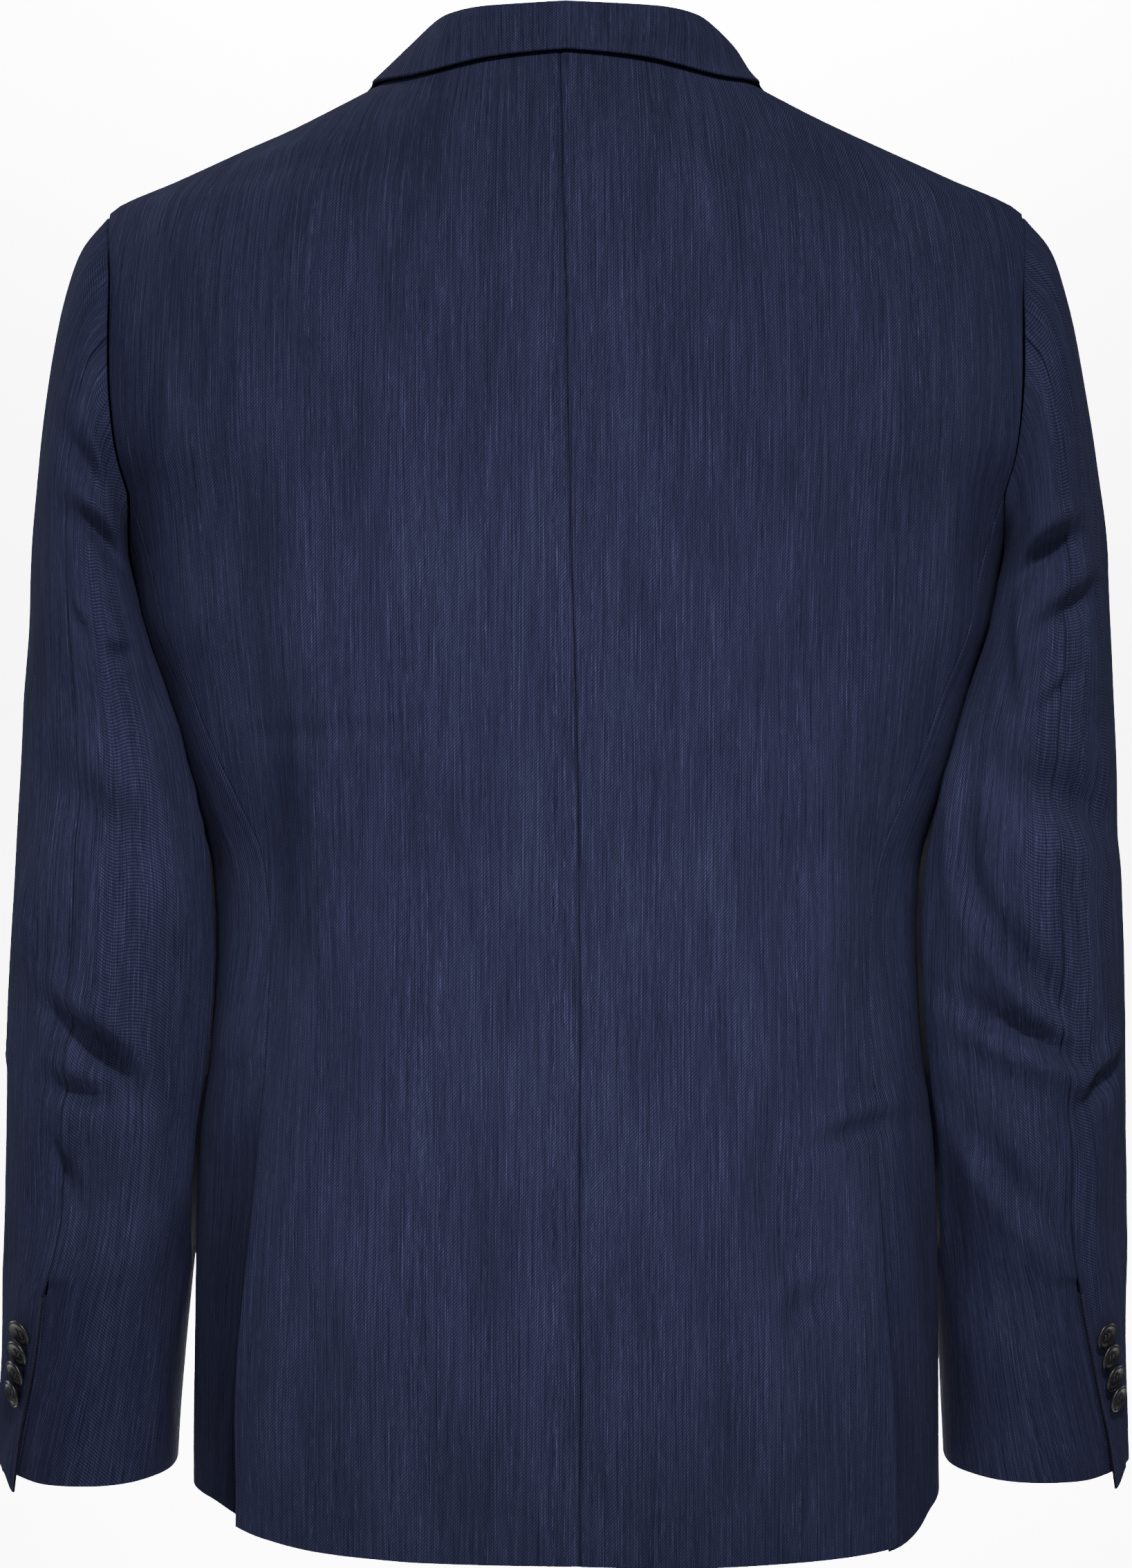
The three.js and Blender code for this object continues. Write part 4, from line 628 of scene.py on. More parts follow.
def melange_twill():
    """Wool twill woven from melange yarn: diagonal wales, lengthwise streaks where lighter tops
    show in the warp, and a dry face with a soft nap sheen. The tone is the weighted sum of the
    noises and the wales, and a ramp turns it to a colour."""
    material, tree = blank("Melange wool twill")
    place = add(tree, "ShaderNodeUVMap", "UV", uv_map="ClothMeasure")

    def noise(name, spot):
        wide, long, detail, rough, offset = YARN_NOISES[name]
        spread_out = {"Vector": spot, "Scale": (1 / wide, 1 / long, 1), "Location": (offset, offset * 2, 0)}
        spot = add(tree, "ShaderNodeMapping", "Vector", spread_out)
        look = {"Vector": spot, "Scale": 1.0, "Detail": detail, "Roughness": rough}
        return add(tree, "ShaderNodeTexNoise", "Fac", look)

    def blend(*parts):
        """The sum of the parts, each by its weight."""
        total = 0.0
        for part, weight in parts:
            both = {0: part, 1: weight, 2: total}
            total = add(tree, "ShaderNodeMath", "Value", both, operation="MULTIPLY_ADD")
        return total

    # Each warp thread is pushed along by its own amount, so that no rows of streaks line up
    push = add(tree, "ShaderNodeCombineXYZ", "Vector", {"Y": blend((noise("push", place), 0.5))})
    slid = add(tree, "ShaderNodeVectorMath", "Vector", {0: place, 1: push}, operation="ADD")
    streaks, fine, drift = noise("streaks", slid), noise("fine", slid), noise("drift", place)
    slant = {"Vector": place, "Rotation": (0, 0, math.radians(45))}
    look = {
        "Vector": add(tree, "ShaderNodeMapping", "Vector", slant),
        "Scale": WAVE_PITCH / TWILL_PITCH, "Distortion": 1.2, "Detail": 2.0, "Detail Scale": 1.4,
    }
    wales = add(tree, "ShaderNodeTexWave", "Fac", look)
    tone = blend((streaks, 0.4), (fine, 0.6), (drift, 0.08), (wales, 0.11))
    colour = ramp(tree, tone, [(0.465, INK), (0.638, NAVY), (0.83, STEEL)])
    # Painted shade: the cloth's colour is mixed towards a near black by the mesh's painted-shade attribute,
    # in fold troughs, seam grooves and under the vent flap
    painted_shade = add(tree, "ShaderNodeAttribute", "Fac", attribute_name="PaintedShade")
    darkened = {0: blend((painted_shade, 0.6)), 6: colour, 7: linear(PAINTED_SHADE_DARK)}
    look = {
        "Base Color": add(tree, "ShaderNodeMix", 2, darkened, data_type="RGBA"),
        "Roughness": 0.92, "Specular IOR Level": 0.08, "IOR": 1.45,
        "Sheen Weight": 0.03, "Sheen Roughness": 0.5, "Sheen Tint": linear(NAP),
    }
    finish(tree, look, blend((wales, 0.5), (fine, 0.5)), 0.35, 0.0004)
    return material


def polished_horn():
    """Buffalo-look horn buttons, turned and polished: near black with faint grey flow lines."""
    material, tree = blank("Turned dark horn")
    place = add(tree, "ShaderNodeTexCoord", "Object")
    lines = {"Vector": place, "Scale": 260.0, "Detail": 4.0, "Roughness": 0.6, "Distortion": 1.4}
    flow = add(tree, "ShaderNodeTexNoise", "Fac", lines)
    scratches = add(tree, "ShaderNodeTexNoise", "Fac", {"Vector": place, "Scale": 2500.0, "Detail": 2.0})
    look = {
        "Base Color": ramp(tree, flow, [(0.35, HORN), (0.7, HORN_LIGHT)]), "Roughness": 0.38,
        "IOR": 1.54, "Coat Weight": 0.25, "Coat Roughness": 0.3,
    }
    finish(tree, look, scratches, 0.08, 0.0002)
    return material


def sewing_thread():
    """Spun polyester thread: dark, matt, with a fine twist."""
    material, tree = blank("Spun sewing thread")
    place = add(tree, "ShaderNodeTexCoord", "Object")
    twist = add(tree, "ShaderNodeTexWave", "Fac", {"Vector": place, "Scale": 700.0, "Distortion": 2.0})
    colour = ramp(tree, twist, [(0.2, THREAD), (0.9, THREAD_LIGHT)])
    finish(tree, {"Base Color": colour, "Roughness": 0.7, "Sheen Weight": 0.2}, twist, 0.3, 0.0001)
    return material


TWILL = melange_twill()
HORN_FINISH = polished_horn()
THREAD_FINISH = sewing_thread()

# Each kind of cloth piece: the width and length it was cut to in mm, the area of its shape in mm2
# where that isn't the whole of them, how it is held, what it rests on, and the way its face looks
CUTS = {
    "Back_": (262, 790, 170000, "hung", ["Collar"], (0, 1, 0)),
    "Side_": (150, 540, 58000, "hung", ["Back_{}", "Front_{}"], (1, 0, 0)),
    "Vent_underlap_": (34, 235, None, "hung", ["Side_{}"], (1, 0.6, 0)),
    "Front_": (270, 770, 165000, "hung", ["Back_{}"], (0, -1, 0)),
    "Lapel_": (105, 345, {"left": 20500, "right": 18500}, "folded", ["Front_{}"], (0, -1, 0)),
    "Top_sleeve_": (235, 690, 124000, "hung", ["Back_{}", "Front_{}"], (1, 0, 0)),
    "Under_sleeve_": (190, 560, 88000, "hung", ["Top_sleeve_{}"], (-1, 0, 0)),
    "Cuff_underlap_": (22, 112, None, "hung", ["Under_sleeve_{}"], (0, 1, 0)),
    "Pocket_flap_": (152, 56, 8100, "hung", ["Front_{}"], (0.4, -1, 0)),
    "Collar": (440, 80, 27000, "folded", ["Back_left", "Back_right"], (0, 1, 0)),
    "Breast_welt": (92, 24, None, "hung", ["Front_left"], (0.3, -1, 0)),
}


def studio_paper():
    """Matt white paper with a hardly seen grain."""
    material, tree = blank("Matt studio paper")
    place = add(tree, "ShaderNodeTexCoord", "Object")
    grain = add(tree, "ShaderNodeTexNoise", "Fac", {"Vector": place, "Scale": 3.0, "Detail": 2.0})
    finish(tree, {"Base Color": ramp(tree, grain, [(0.3, PAPER), (0.7, PAPER_DULL)]), "Roughness": 0.9})
    return material


def settle(piece, material, stands=True):
    """Gives a piece its finish and body. Where it stands for a solid, of its own name, that is
    hidden."""
    piece.data.materials.append(material)
    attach(piece, "root")
    if stands:
        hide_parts(piece.name.lower())
    return piece


ROW_STEP = 4.0  # mm


def sew(kind, key, points, uv, seams=(), shade=0.0):
    """A piece of cloth from its points, worked out on the left."""
    wide, long, area, held, rests_on, outward = CUTS[kind]
    side = SIDES.get(key, 1)
    piece = cloth(kind + key, mirrored(points, side), uv, mirrored(outward, side), seams, shade)
    settle(piece, TWILL, "underlap" not in kind)
    if isinstance(area, dict):
        area = area[key]


def body_grid(key, low, high, start, end, columns, lift=None, height=None):
    """A body panel's points, angles and heights, in rows from low to high, close together by the
    two ends. Each row runs from angle start to angle end, which are worked out by the row, as are
    how far the cloth is lifted and its real height."""
    span = high - low
    rows = low + span * spread(max(8, int(span / ROW_STEP)), FINE_EDGE, span)
    shares = spread(columns, FINE_EDGE, 210.0)
    start, end = start(rows)[:, None], end(rows)[:, None]
    angle = start + (end - start) * shares
    rows = rows[:, None] + 0 * angle
    z = row_height(key, rows, angle) + (height(rows, angle, shares) if height else 0)
    lifted = lift(rows, angle, z, shares) if lift else 0 * angle
    return body_cloth(SIDES[key], angle, z, lifted), angle, z, rows[:, :1], shares


def body_measure(key, angle, z):
    """The cloth measure of the body: round the form at each height from the back or front middle,
    in the same direction on both sides, and up by the height."""
    start = 180.0 if angle.mean() > 125 else 90.0 if angle.mean() > 75 else 0.0
    fine = np.arange(-20.0, 201.0, 2.0)
    round_it = np.empty_like(angle)
    for i, height in enumerate(z.mean(axis=1)):
        arc = along_grid(body_point(fine, height + 0 * fine)[None], 1)[0]
        round_it[i] = np.interp(angle[i], fine, arc) - np.interp(start, fine, arc)
    return np.stack([-SIDES[key] * round_it, z], -1)


def measure(points, level):
    """The cloth measure: across from one column of the grid, and up by the height."""
    return np.stack([along_grid(points, 1), level], -1)


# How strongly each seam or edge is drawn in, and darkened with painted shade in its groove, 0 to 1
SEAM = {
    "centre": 0.5, "shoulder": 0.5, "armhole": 0.42, "side": 0.16, "open vent": 0.5,
    "front side": 0.2, "front armhole": 0.9, "underarm": 0.9, "sleeve": 0.25, "cuff vent": 0.65,
    "lapel edge": 0.3, "flap": 0.8,
}


def side_seam(key, rows):
    """How strongly a back's outer seam shows at each row: well at the armhole, hardly below it,
    and as a dark line of painted shade where the vent is open."""
    low = SEAM["open vent"] * ease(VENT_TOP[key] + 2, VENT_TOP[key] - 4, rows) + SEAM["side"]
    return np.where(rows < ARMHOLE_CORNER - 6, low, SEAM["armhole"])


def make_back(key):
    """Half of the back, from the centre seam to the vent seam, the armhole and the shoulder."""

    def centre(rows):
        return SIDES[key] * angle_at(read(CENTRE_SEAM, "x", rows), rows)

    def dip_to_nape(rows, angle, shares):
        neck = (NECK_POINT - NAPE) * (1 - (np.maximum(0, angle) / 90) ** 2)
        return -neck * ease(-41, NECK_POINT, rows)

    points, angle, z, rows, _ = body_grid(
        key, HEM, NECK_POINT, centre, lambda rows: outer_angle(rows, False), 56, height=dip_to_nape
    )
    seams = {"first": SEAM["centre"], "last": side_seam(key, rows), "high": SEAM["shoulder"]}
    sew("Back_", key, points, body_measure(key, angle, z), seams)


def vent_depth(key, rows):
    """How deep the side body lies under the back along the vent."""
    return LAP + (VENT_LAP[key] - LAP) * ease(VENT_TOP[key], VENT_TOP[key] - 90, rows)


def make_side(key):
    """The side body, between the vent seam and the front's side seam, and the strip of it that
    lies under the back along the vent."""
    top = VENT_TOP[key]

    def edge(front):
        return lambda rows: outer_angle(rows - 1e-6, front)

    def sunk(rows, angle, z, shares):
        return -vent_depth(key, rows) * ease(top, top - 14, rows) * ease(0.6, 0, shares)

    def fall(rows, angle, shares):
        underarm = ease(-275, ARMHOLE_CORNER, rows) * (underarm_height(shares) - ARMHOLE_CORNER)
        return underarm - 3 * ease(0.5, 0, shares) * ease(-690, HEM, rows)

    points, angle, z, rows, shares = body_grid(
        key, HEM, ARMHOLE_CORNER, edge(False), edge(True), 26, sunk, fall
    )
    vent_seam = np.where(rows < top, 0, SEAM["side"])
    seams = {"first": vent_seam, "last": SEAM["front side"], "high": SEAM["underarm"]}
    # Painted shade on the side body along the vent, where the back's flap lies close over it
    shade = VENT_SHADE[key] * ease(top + 6, top - 120, rows) * ease(0.5, 0.15, shares)
    sew("Side_", key, points, body_measure(key, angle, z), seams, shade)
    points, _, z, _, _ = body_grid(
        key, HEM, top - 8, lambda rows: edge(False)(rows) - 11.0, lambda rows: edge(False)(rows) - 0.15,
        10, lambda rows, angle, z, shares: -vent_depth(key, rows),
    )
    sew("Vent_underlap_", key, points, measure(points, z))


def roll_x(z):
    """The roll line, straight from the gorge to the break."""
    return GORGE[0] + (BREAK[0] - GORGE[0]) * (GORGE[1] - z) / (GORGE[1] - BREAK[1])


def front_edge(rows):
    """The front's inner edge: its free edge, then the roll line, then the neckline."""
    up = np.where(rows < GORGE[1], roll_x(rows), read(FRONT_NECKLINE, "x", rows))
    return np.where(rows < BREAK[1], read(FRONT_EDGE, "x", rows), up)


def front_lift(key, x, z):
    """How far the left front lies over the right one."""
    return ON_TOP * ease(58, 24, x) * ease(-240, -290, z) if key == "left" else 0 * x


def make_front(key):
    """A front, from its edge and the roll line to the side seam, armhole and shoulder seam."""
    points, angle, z, rows, _ = body_grid(
        key, HEM, NECK_POINT - 1.5, lambda rows: angle_at(front_edge(rows), rows, True),
        lambda rows: outer_angle(rows, True), 60,
        lambda rows, angle, z, shares: front_lift(key, body_point(angle, z)[..., 0], z),
    )
    outer = np.where(rows < ARMHOLE_CORNER - 6, SEAM["front side"], SEAM["front armhole"])
    seams = {"last": outer, "high": SEAM["shoulder"]}
    sew("Front_", key, points, body_measure(key, angle, z), seams)
    edge_stitches("Front_", key, points, 5, rows[:, 0] < BREAK[1] - 4)


def front_place(key, x, z):
    """The front's cloth at x, z with its normal, and the way along it from the roll line."""
    angle = angle_at(x, z, True)
    n = body_normal(angle, z)
    away = np.array([1.0, 0, 0]) - n * n[..., :1]
    return body_point(angle, z) + n * front_lift(key, x, z)[..., None], n, unit(away)


def leaf_height(share):
    """How high a turned-back leaf lies: it comes down from its roll to its edge."""
    return LAP + 0.8 + 2.6 * (1 - share) ** 1.5


def smooth_rows(points, shares, fine):
    """Refines each row of control points to the fine shares, by cubic pieces that pass through
    them with slopes from their neighbours."""
    i = np.clip(np.searchsorted(shares, fine, side="right") - 1, 0, len(shares) - 2)
    span = (shares[i + 1] - shares[i])[:, None]
    t = ((fine - shares[i]) / (shares[i + 1] - shares[i]))[:, None]
    slope = np.gradient(points, shares, axis=1)
    a, b, sa, sb = points[:, i], points[:, i + 1], slope[:, i], slope[:, i + 1]
    return (
        a * (2 * t**3 - 3 * t**2 + 1) + b * (3 * t**2 - 2 * t**3)
        + span * (sa * (t**3 - 2 * t**2 + t) + sb * (t**3 - t**2))
    )


LEAF_SHARES = np.array([0.14, 0.36, 0.6, 0.8, 1])
# Where the control points lie between the two ends of their row
LAPEL_CONTROL = np.array([0, 0.03, 0.07, 0.12, 0.22, 0.42, 0.64, 0.82, 1.0])
COLLAR_CONTROL = np.array([0, 0.17, 0.34, 0.40, 0.46, 0.54, 0.66, 0.79, 0.9, 1.0])


def make_lapel(key):
    """A lapel: rows from the gorge down the roll line, each over the roll and out to its edge."""
    low = BREAK[1] + 6 if key == "left" else RIGHT_LAPEL["low"]
    t = spread(100, FINE_EDGE, 300.0)
    z = GORGE[1] + (low - GORGE[1]) * t
    tuck = 0 * z if key == "left" else ease(*RIGHT_LAPEL["tuck"], z)
    in_x = roll_x(z) + tuck * (RIGHT_LAPEL["past"] - 2 * roll_x(z))
    out_z = LAPEL_CORNER[1] + (low - 3 - LAPEL_CORNER[1]) * t
    straight = LAPEL_CORNER[0] + (BREAK[0] + 3 - LAPEL_CORNER[0]) * t
    bow = LAPEL_BELLY * np.sin(np.pi * t**0.8) * (1 - 0.3 * t)
    out_x = np.maximum(straight + bow, in_x + 7)
    p, n, away = front_place(key, in_x, z)
    columns = []
    for k, (along, high) in enumerate(zip(ROLL["along"], ROLL["high"])):
        along = along + (k - 4 - along) * tuck * 0.8
        high = high + (leaf_height(0) - high) * tuck
        columns.append(p + away * along[:, None] + n * high[:, None])
    for share in LEAF_SHARES:
        q, m, _ = front_place(key, in_x + (out_x - in_x) * share, z + (out_z - z) * share)
        columns.append(q + m * leaf_height(share))
    points = smooth_rows(np.stack(columns, 1), LAPEL_CONTROL, spread(34, FINE_EDGE, 95.0))
    uv = np.stack([along_grid(points, 1), -along_grid(points, 0)], -1)
    sew("Lapel_", key, points, uv, {"last": SEAM["lapel edge"], "low": SEAM["lapel edge"]})
    edge_stitches("Lapel_", key, points, -6)


def collar_rows(at):
    """Control points of the collar's left half at some stations: stand, fold and leaf. The leaf
    is kept clear of the body."""
    get = {name: read(COLLAR, name, at, "at") for name in COLLAR if name != "at"}
    ends = []
    for end, lift in (("seam", 0.6), ("edge", leaf_height(1))):
        place = get[end + "Angle"], get[end + "Z"]
        ends.append(body_point(*place) + lift * body_normal(*place))
    seam, edge = ends
    fold = np.stack([get["foldX"], get["foldY"], get["foldZ"]], -1)
    wide = unit(edge - seam) * 2.6
    drop = unit((seam + edge) / 2 - fold) * 2.8
    inside, outside = fold - wide + drop, fold + wide + drop
    seam = seam - wide
    rows = [seam + (inside - seam) * t for t in (0, 0.5, 1)] + [fold, outside]
    for t in LEAF_SHARES:
        p = outside + (edge - outside) * t
        base = reach_of(under(p))
        out, need = reach_of(p) / base, 1 + (LAP + 1) / base
        if t < 1:
            p[:, :2] *= np.where(out < need, need / out, 1)[:, None]
        rows.append(p)
    return np.stack(rows, 1)


def make_collar():
    """The collar, all round the neck: its left half worked out and mirrored, with its end drawn
    to the gorge and the notch."""
    at = COLLAR["at"][-1] * spread(76, FINE_EDGE, 175.0)
    left = collar_rows(at)
    tip = left[-1, -1]
    shares = np.arange(6) / 5
    gorge = shares < 0.6
    s = np.where(gorge, shares / 0.6, (shares - 0.6) / 0.4)
    x, z = (
        np.where(gorge, start + (notch - start) * s, notch + (end - notch) * s)
        for start, notch, end in zip(GORGE, NOTCH, (tip[0], tip[2]))
    )
    p, n, _ = front_place("right", x, z + GORGE_GAP)
    high = leaf_height(shares)
    high[0] = ROLL["high"][-1]
    target = p + n * high[:, None]
    q, m, away = front_place("right", np.array(GORGE[0]), np.array(GORGE[1] + GORGE_GAP))
    roll = q + away * ROLL["along"][:, None] + m * ROLL["high"][:, None]
    goal = np.concatenate([[roll[0], (roll[0] + roll[1]) / 2, roll[1], roll[2]], target])
    left = left + (goal - left) * ease(4, COLLAR["at"][-1], at)[:, None, None]
    wide = COLLAR_LEAN["wide"] * ease(COLLAR_LEAN["low"], COLLAR_LEAN["high"], left[..., 2])
    wide = wide * ease(COLLAR_LEAN["front"], COLLAR_LEAN["back"], left[..., 1]) * ease(0, 30, left[..., 0])
    right = mirrored(left, -1) - wide[..., None] * np.array([1, 0, 0])
    whole = np.concatenate([right[:0:-1], left])
    points = smooth_rows(whole, COLLAR_CONTROL, spread(40, FINE_EDGE, 70.0))
    across, down = along_grid(points, 1), along_grid(points, 0)
    sew("Collar", "", points, np.stack([down - down[len(left) - 1], -across], -1))
    edge_stitches("Collar", "", points, -6)


def make_sleeve(key):
    """A sleeve's two cut pieces, and the strip of the under sleeve that lies under the vent."""
    at = LAST_SECTION * spread(165, FINE_EDGE, 660.0)[:, None]
    back, front = SEAM_LAPS["back"], SEAM_LAPS["front"]
    lap = (front - 3) + (back + 3 - front) * spread(56, FINE_EDGE, 170.0)
    points = sleeve_point(key, at + 0 * lap, np.where(lap < 0, lap + 3, lap) + 0 * at)
    corner = ease(back - CUFF_CORNER["wide"], back, lap) * ease(CUFF_CORNER["from"], LAST_SECTION, at)
    points[..., 2] -= CUFF_CORNER["drop"] * corner
    # The vent's edge is drawn in deeper and given painted shade, for the shadow of the lap along it
    vent_edge = SEAM["sleeve"] + SEAM["cuff vent"] * ease(CUFF_VENT_SECTION - 0.3, CUFF_VENT_SECTION, at)
    seams = {"low": SEAM["armhole"], "first": SEAM["sleeve"], "last": SEAM["sleeve"]}
    sew("Top_sleeve_", key, points, sleeve_measure(key, points), {**seams, "last": vent_edge})

    shares = spread(44, FINE_EDGE, 150.0)
    points = sleeve_point(key, at + 0 * shares, back + (front - back) * shares + 0 * at)
    sunk = ease(CUFF_VENT_SECTION - 0.5, CUFF_VENT_SECTION, at) * ease(0.14, 0, shares)
    points = points - facing(points, CUTS["Under_sleeve_"][-1])[0] * (ON_TOP * sunk)[..., None]
    sew("Under_sleeve_", key, points, sleeve_measure(key, points), seams)

    start = CUFF_VENT_SECTION + 0.1
    low = (start + (LAST_SECTION - start) * spread(28, FINE_EDGE, 110.0))[:, None]
    turns = CUFF_LAP_TURN * spread(10, FINE_EDGE[:6], 21.0) + 0 * low
    points = sleeve_point(key, low + 0 * turns, back + 0 * turns, -turns)
    points = points - facing(points, CUTS["Cuff_underlap_"][-1])[0] * ON_TOP
    sew("Cuff_underlap_", key, points, sleeve_measure(key, points))


def sleeve_measure(key, points):
    """The cloth measure of a sleeve: its columns are the lengthwise threads, at their distance half
    way down, and the way up each of them is measured from the cuff."""
    across = along_grid(points, 1)[points.shape[0] // 2]
    up = along_grid(points, 0)
    return np.stack(np.broadcast_arrays(-SIDES[key] * across, up[-1:] - up), -1)


def make_flap(key):
    """A hip pocket's flap, on the front's cloth, with rounded lower corners."""
    share = spread(46, FINE_EDGE, FLAP["wide"])
    up = spread(16, FINE_EDGE, FLAP["deep"])[:, None]
    angle = FLAP["from"] + (FLAP["to"] - FLAP["from"]) * share + 0 * up
    top = FLAP["top"] + FLAP["slant"] * share
    near = np.minimum(share, 1 - share) * FLAP["wide"]
    low = top - FLAP["deep"] + dip(near, FLAP["round"], FLAP["round"])
    z = low + (top - low) * up
    lift = ON_TOP + 0.8 * (1 - up) ** 2 + front_lift(key, body_point(angle, z)[..., 0], z)
    points = body_cloth(SIDES[key], angle, z, lift)
    sew("Pocket_flap_", key, points, measure(points, z), {"high": SEAM["flap"]})


def make_welt():
    """The breast pocket's welt, on the left front."""
    share = spread(28, FINE_EDGE, 90.0)
    up = spread(8, FINE_EDGE[:7], WELT["deep"])[:, None]
    start, end = (angle_at(WELT[k], WELT["bottom"], True) for k in ("from", "to"))
    angle = start + (end - start) * share + 0 * up
    z = WELT["bottom"] + WELT["slant"] * share + WELT["deep"] * up
    points = body_cloth(1, angle, z, ON_TOP + 0 * angle)
    sew("Breast_welt", "", points, measure(points, z))


# A button's profile from the middle of its back, over its rim, to the floor of its dish
BUTTON_PROFILE = (
    (0.0, 0.0), (0.60, 0.0), (0.72, 0.02), (0.90, 0.25), (0.985, 0.5), (1.0, 0.68), (0.965, 0.88),
    (0.9, 0.98), (0.82, 1.0), (0.74, 0.94), (0.66, 0.8), (0.56, 0.7), (0.5, 0.66),
)
BUTTON_HOLES = {"out": 0.27, "radius": 0.8, "deep": 0.55}  # out by the radius, deep by the thickness
STITCH = {"pitch": 3.0, "long": 1.1}
THREAD_RADIUS = {"button": 0.19, "stitch": 0.15, "buttonhole": 0.26, "overcast": 0.16}


def make_button(name, size, origin, across, along, face):
    """A four-hole button seated by its back, sewn on with two bars of thread. It is turned: its
    profile is carried round its axis, with four holes sunk in the dish."""
    radius, thick = size["radius"], size["thick"]
    r, h = np.array(BUTTON_PROFILE).T
    dish = np.linspace(r[-1], 0, 20)[1:]
    h = np.concatenate([h, h[-1] - 0.04 * (1 - (dish / r[-1]) ** 2)])
    r = np.concatenate([r, dish])
    turn = np.linspace(0, 2 * np.pi, 64, endpoint=False)
    x, y = radius * r[:, None] * np.cos(turn), radius * r[:, None] * np.sin(turn)
    c = BUTTON_HOLES["out"] * radius / math.sqrt(2)
    away = np.hypot(np.abs(x) - c, np.abs(y) - c)
    in_dish = (np.arange(len(r)) >= len(BUTTON_PROFILE) - 1)[:, None]
    hole = ease(BUTTON_HOLES["radius"] + 0.15, BUTTON_HOLES["radius"] - 0.15, away) * in_dish
    basis = np.stack([across, along, face])
    points = np.stack([x, y, thick * (h[:, None] - BUTTON_HOLES["deep"] * hole)], -1) @ basis + origin
    piece = weld(mesh_object(name, points.reshape(-1, 3), quads(x.shape, True)))
    settle(piece, HORN_FINISH)
    t = np.linspace(-1, 1, 9)
    paths = [
        np.stack([0 * t + side * c + strand, c * t, thick * 0.62 + 0.35 - 1.2 * t**6], -1) @ basis + origin
        for side in (-1, 1) for strand in (-0.3, 0, 0.3)
    ]
    threads(f"{name}_thread", np.array(paths), np.array([face] * 6), THREAD_RADIUS["button"])


def threads(name, paths, up, radius):
    """Round ends of thread along the paths, thin at both tips. up says which way is off the cloth."""
    count, steps = paths.shape[:2]
    way = unit(np.gradient(paths, axis=1))
    side = unit(np.cross(way, up[:, None]))
    off = np.cross(side, way)
    turn = np.linspace(0, 2 * np.pi, 6, endpoint=False)[:, None]
    thick = radius * np.sqrt(1 - np.linspace(-1, 1, steps) ** 8)[None, :, None, None]
    rings = paths[:, :, None] + thick * (side[:, :, None] * np.cos(turn) + off[:, :, None] * np.sin(turn))
    piece = mesh_object(name, rings.reshape(-1, 3), quads((count, steps, 6), True))
    settle(weld(piece), THREAD_FINISH, False)


def along_line(line, up, pitch):
    """Places at even steps along a line on the cloth: points, the way along and the way off it."""
    run = np.concatenate([[0], np.cumsum(np.linalg.norm(np.diff(line, axis=0), axis=1))])
    at = np.arange(pitch / 2, run[-1], pitch)

    def pick(rows):
        return np.stack([np.interp(at, run, rows[:, k]) for k in range(3)], -1)

    return pick(line), unit(pick(np.gradient(line, run, axis=0))), unit(pick(up))


def edge_stitches(kind, key, points, column, rows=slice(None)):
    """Small stitches sunk in a piece's cloth along one of its columns, as from a pick-stitch
    machine."""
    side = SIDES.get(key, 1)
    points = mirrored(points, side)
    n, _ = facing(points, mirrored(CUTS[kind][-1], side))
    points, way, ups = along_line(points[rows, column], n[rows, column], STITCH["pitch"])
    t = np.linspace(-1, 1, 5)[:, None]
    paths = points[:, None] + way[:, None] * t * STITCH["long"] / 2 + ups[:, None] * (0.04 - 0.16 * t**2)
    name = f"{kind.strip('_')}_edge_stitches" + (f"_{key}" if key else "")
    threads(name, paths, ups, THREAD_RADIUS["stitch"])


def bars(points, aside, ups, near, far):
    """Bars of thread that run aside from each point, from near to far, their ends in the cloth."""
    t = np.linspace(0, 1, 5)[:, None]
    lift = 0.1 - 0.3 * (2 * t - 1) ** 4
    return points[:, None] + aside[:, None] * (near + (far - near) * t) + ups[:, None] * lift


def buttonhole(name, line, up):
    """A worked buttonhole: close bars of thread on both sides of its slit and round its end."""
    points, way, ups = along_line(line, up, 0.62)
    square = np.cross(ups, way)
    paths = [bars(points, square, ups, side * 0.12, side * 1.35) for side in (1, -1)]
    end, on, off = points[-1:], way[-1:], ups[-1:]
    for degrees in (-60, -30, 0, 30, 60):
        a = math.radians(degrees)
        aside = unit(np.cross(off, on)) * math.sin(a) + on * math.cos(a)
        paths.append(bars(end, aside, off, 0.2, 1.5))
    ups = np.concatenate([ups, ups, np.repeat(off, 5, axis=0)])
    threads(name, np.concatenate(paths), ups, THREAD_RADIUS["buttonhole"])


def weld(piece):
    """Merges a mesh's doubled points, as at a pole, and turns its faces outward."""
    bm = bmesh.new()
    bm.from_mesh(piece.data)
    bmesh.ops.remove_doubles(bm, verts=bm.verts, dist=1e-6)
    bmesh.ops.dissolve_degenerate(bm, edges=bm.edges, dist=1e-7)
    bmesh.ops.recalc_face_normals(bm, faces=bm.faces)
    bm.to_mesh(piece.data)
    bm.free()
    return piece


def cuff_seat_rows(key):
    """How far down the sleeve, by its sections, each cuff button lies, by halving the range."""
    rows = []
    for z in CUFF_BUTTON_HEIGHTS[key]:
        low, high = 14.0, LAST_SECTION
        for _ in range(24):
            middle = (low + high) / 2
            above = sleeve_point(key, middle, SEAM_LAPS["back"], -CUFF_BUTTON["in"])[2] > z
            low, high = (middle, high) if above else (low, middle)
        rows.append(low)
    return rows


def off_sleeve(key, at, p):
    """The way straight off a sleeve at its points p, from the middle of its sections."""
    s = section(at)
    s["midY"] = s["midY"] - (RIGHT_SLEEVE_FORWARD if key == "right" else 0)
    return unit(p - section_middle(s, p[..., 2]))


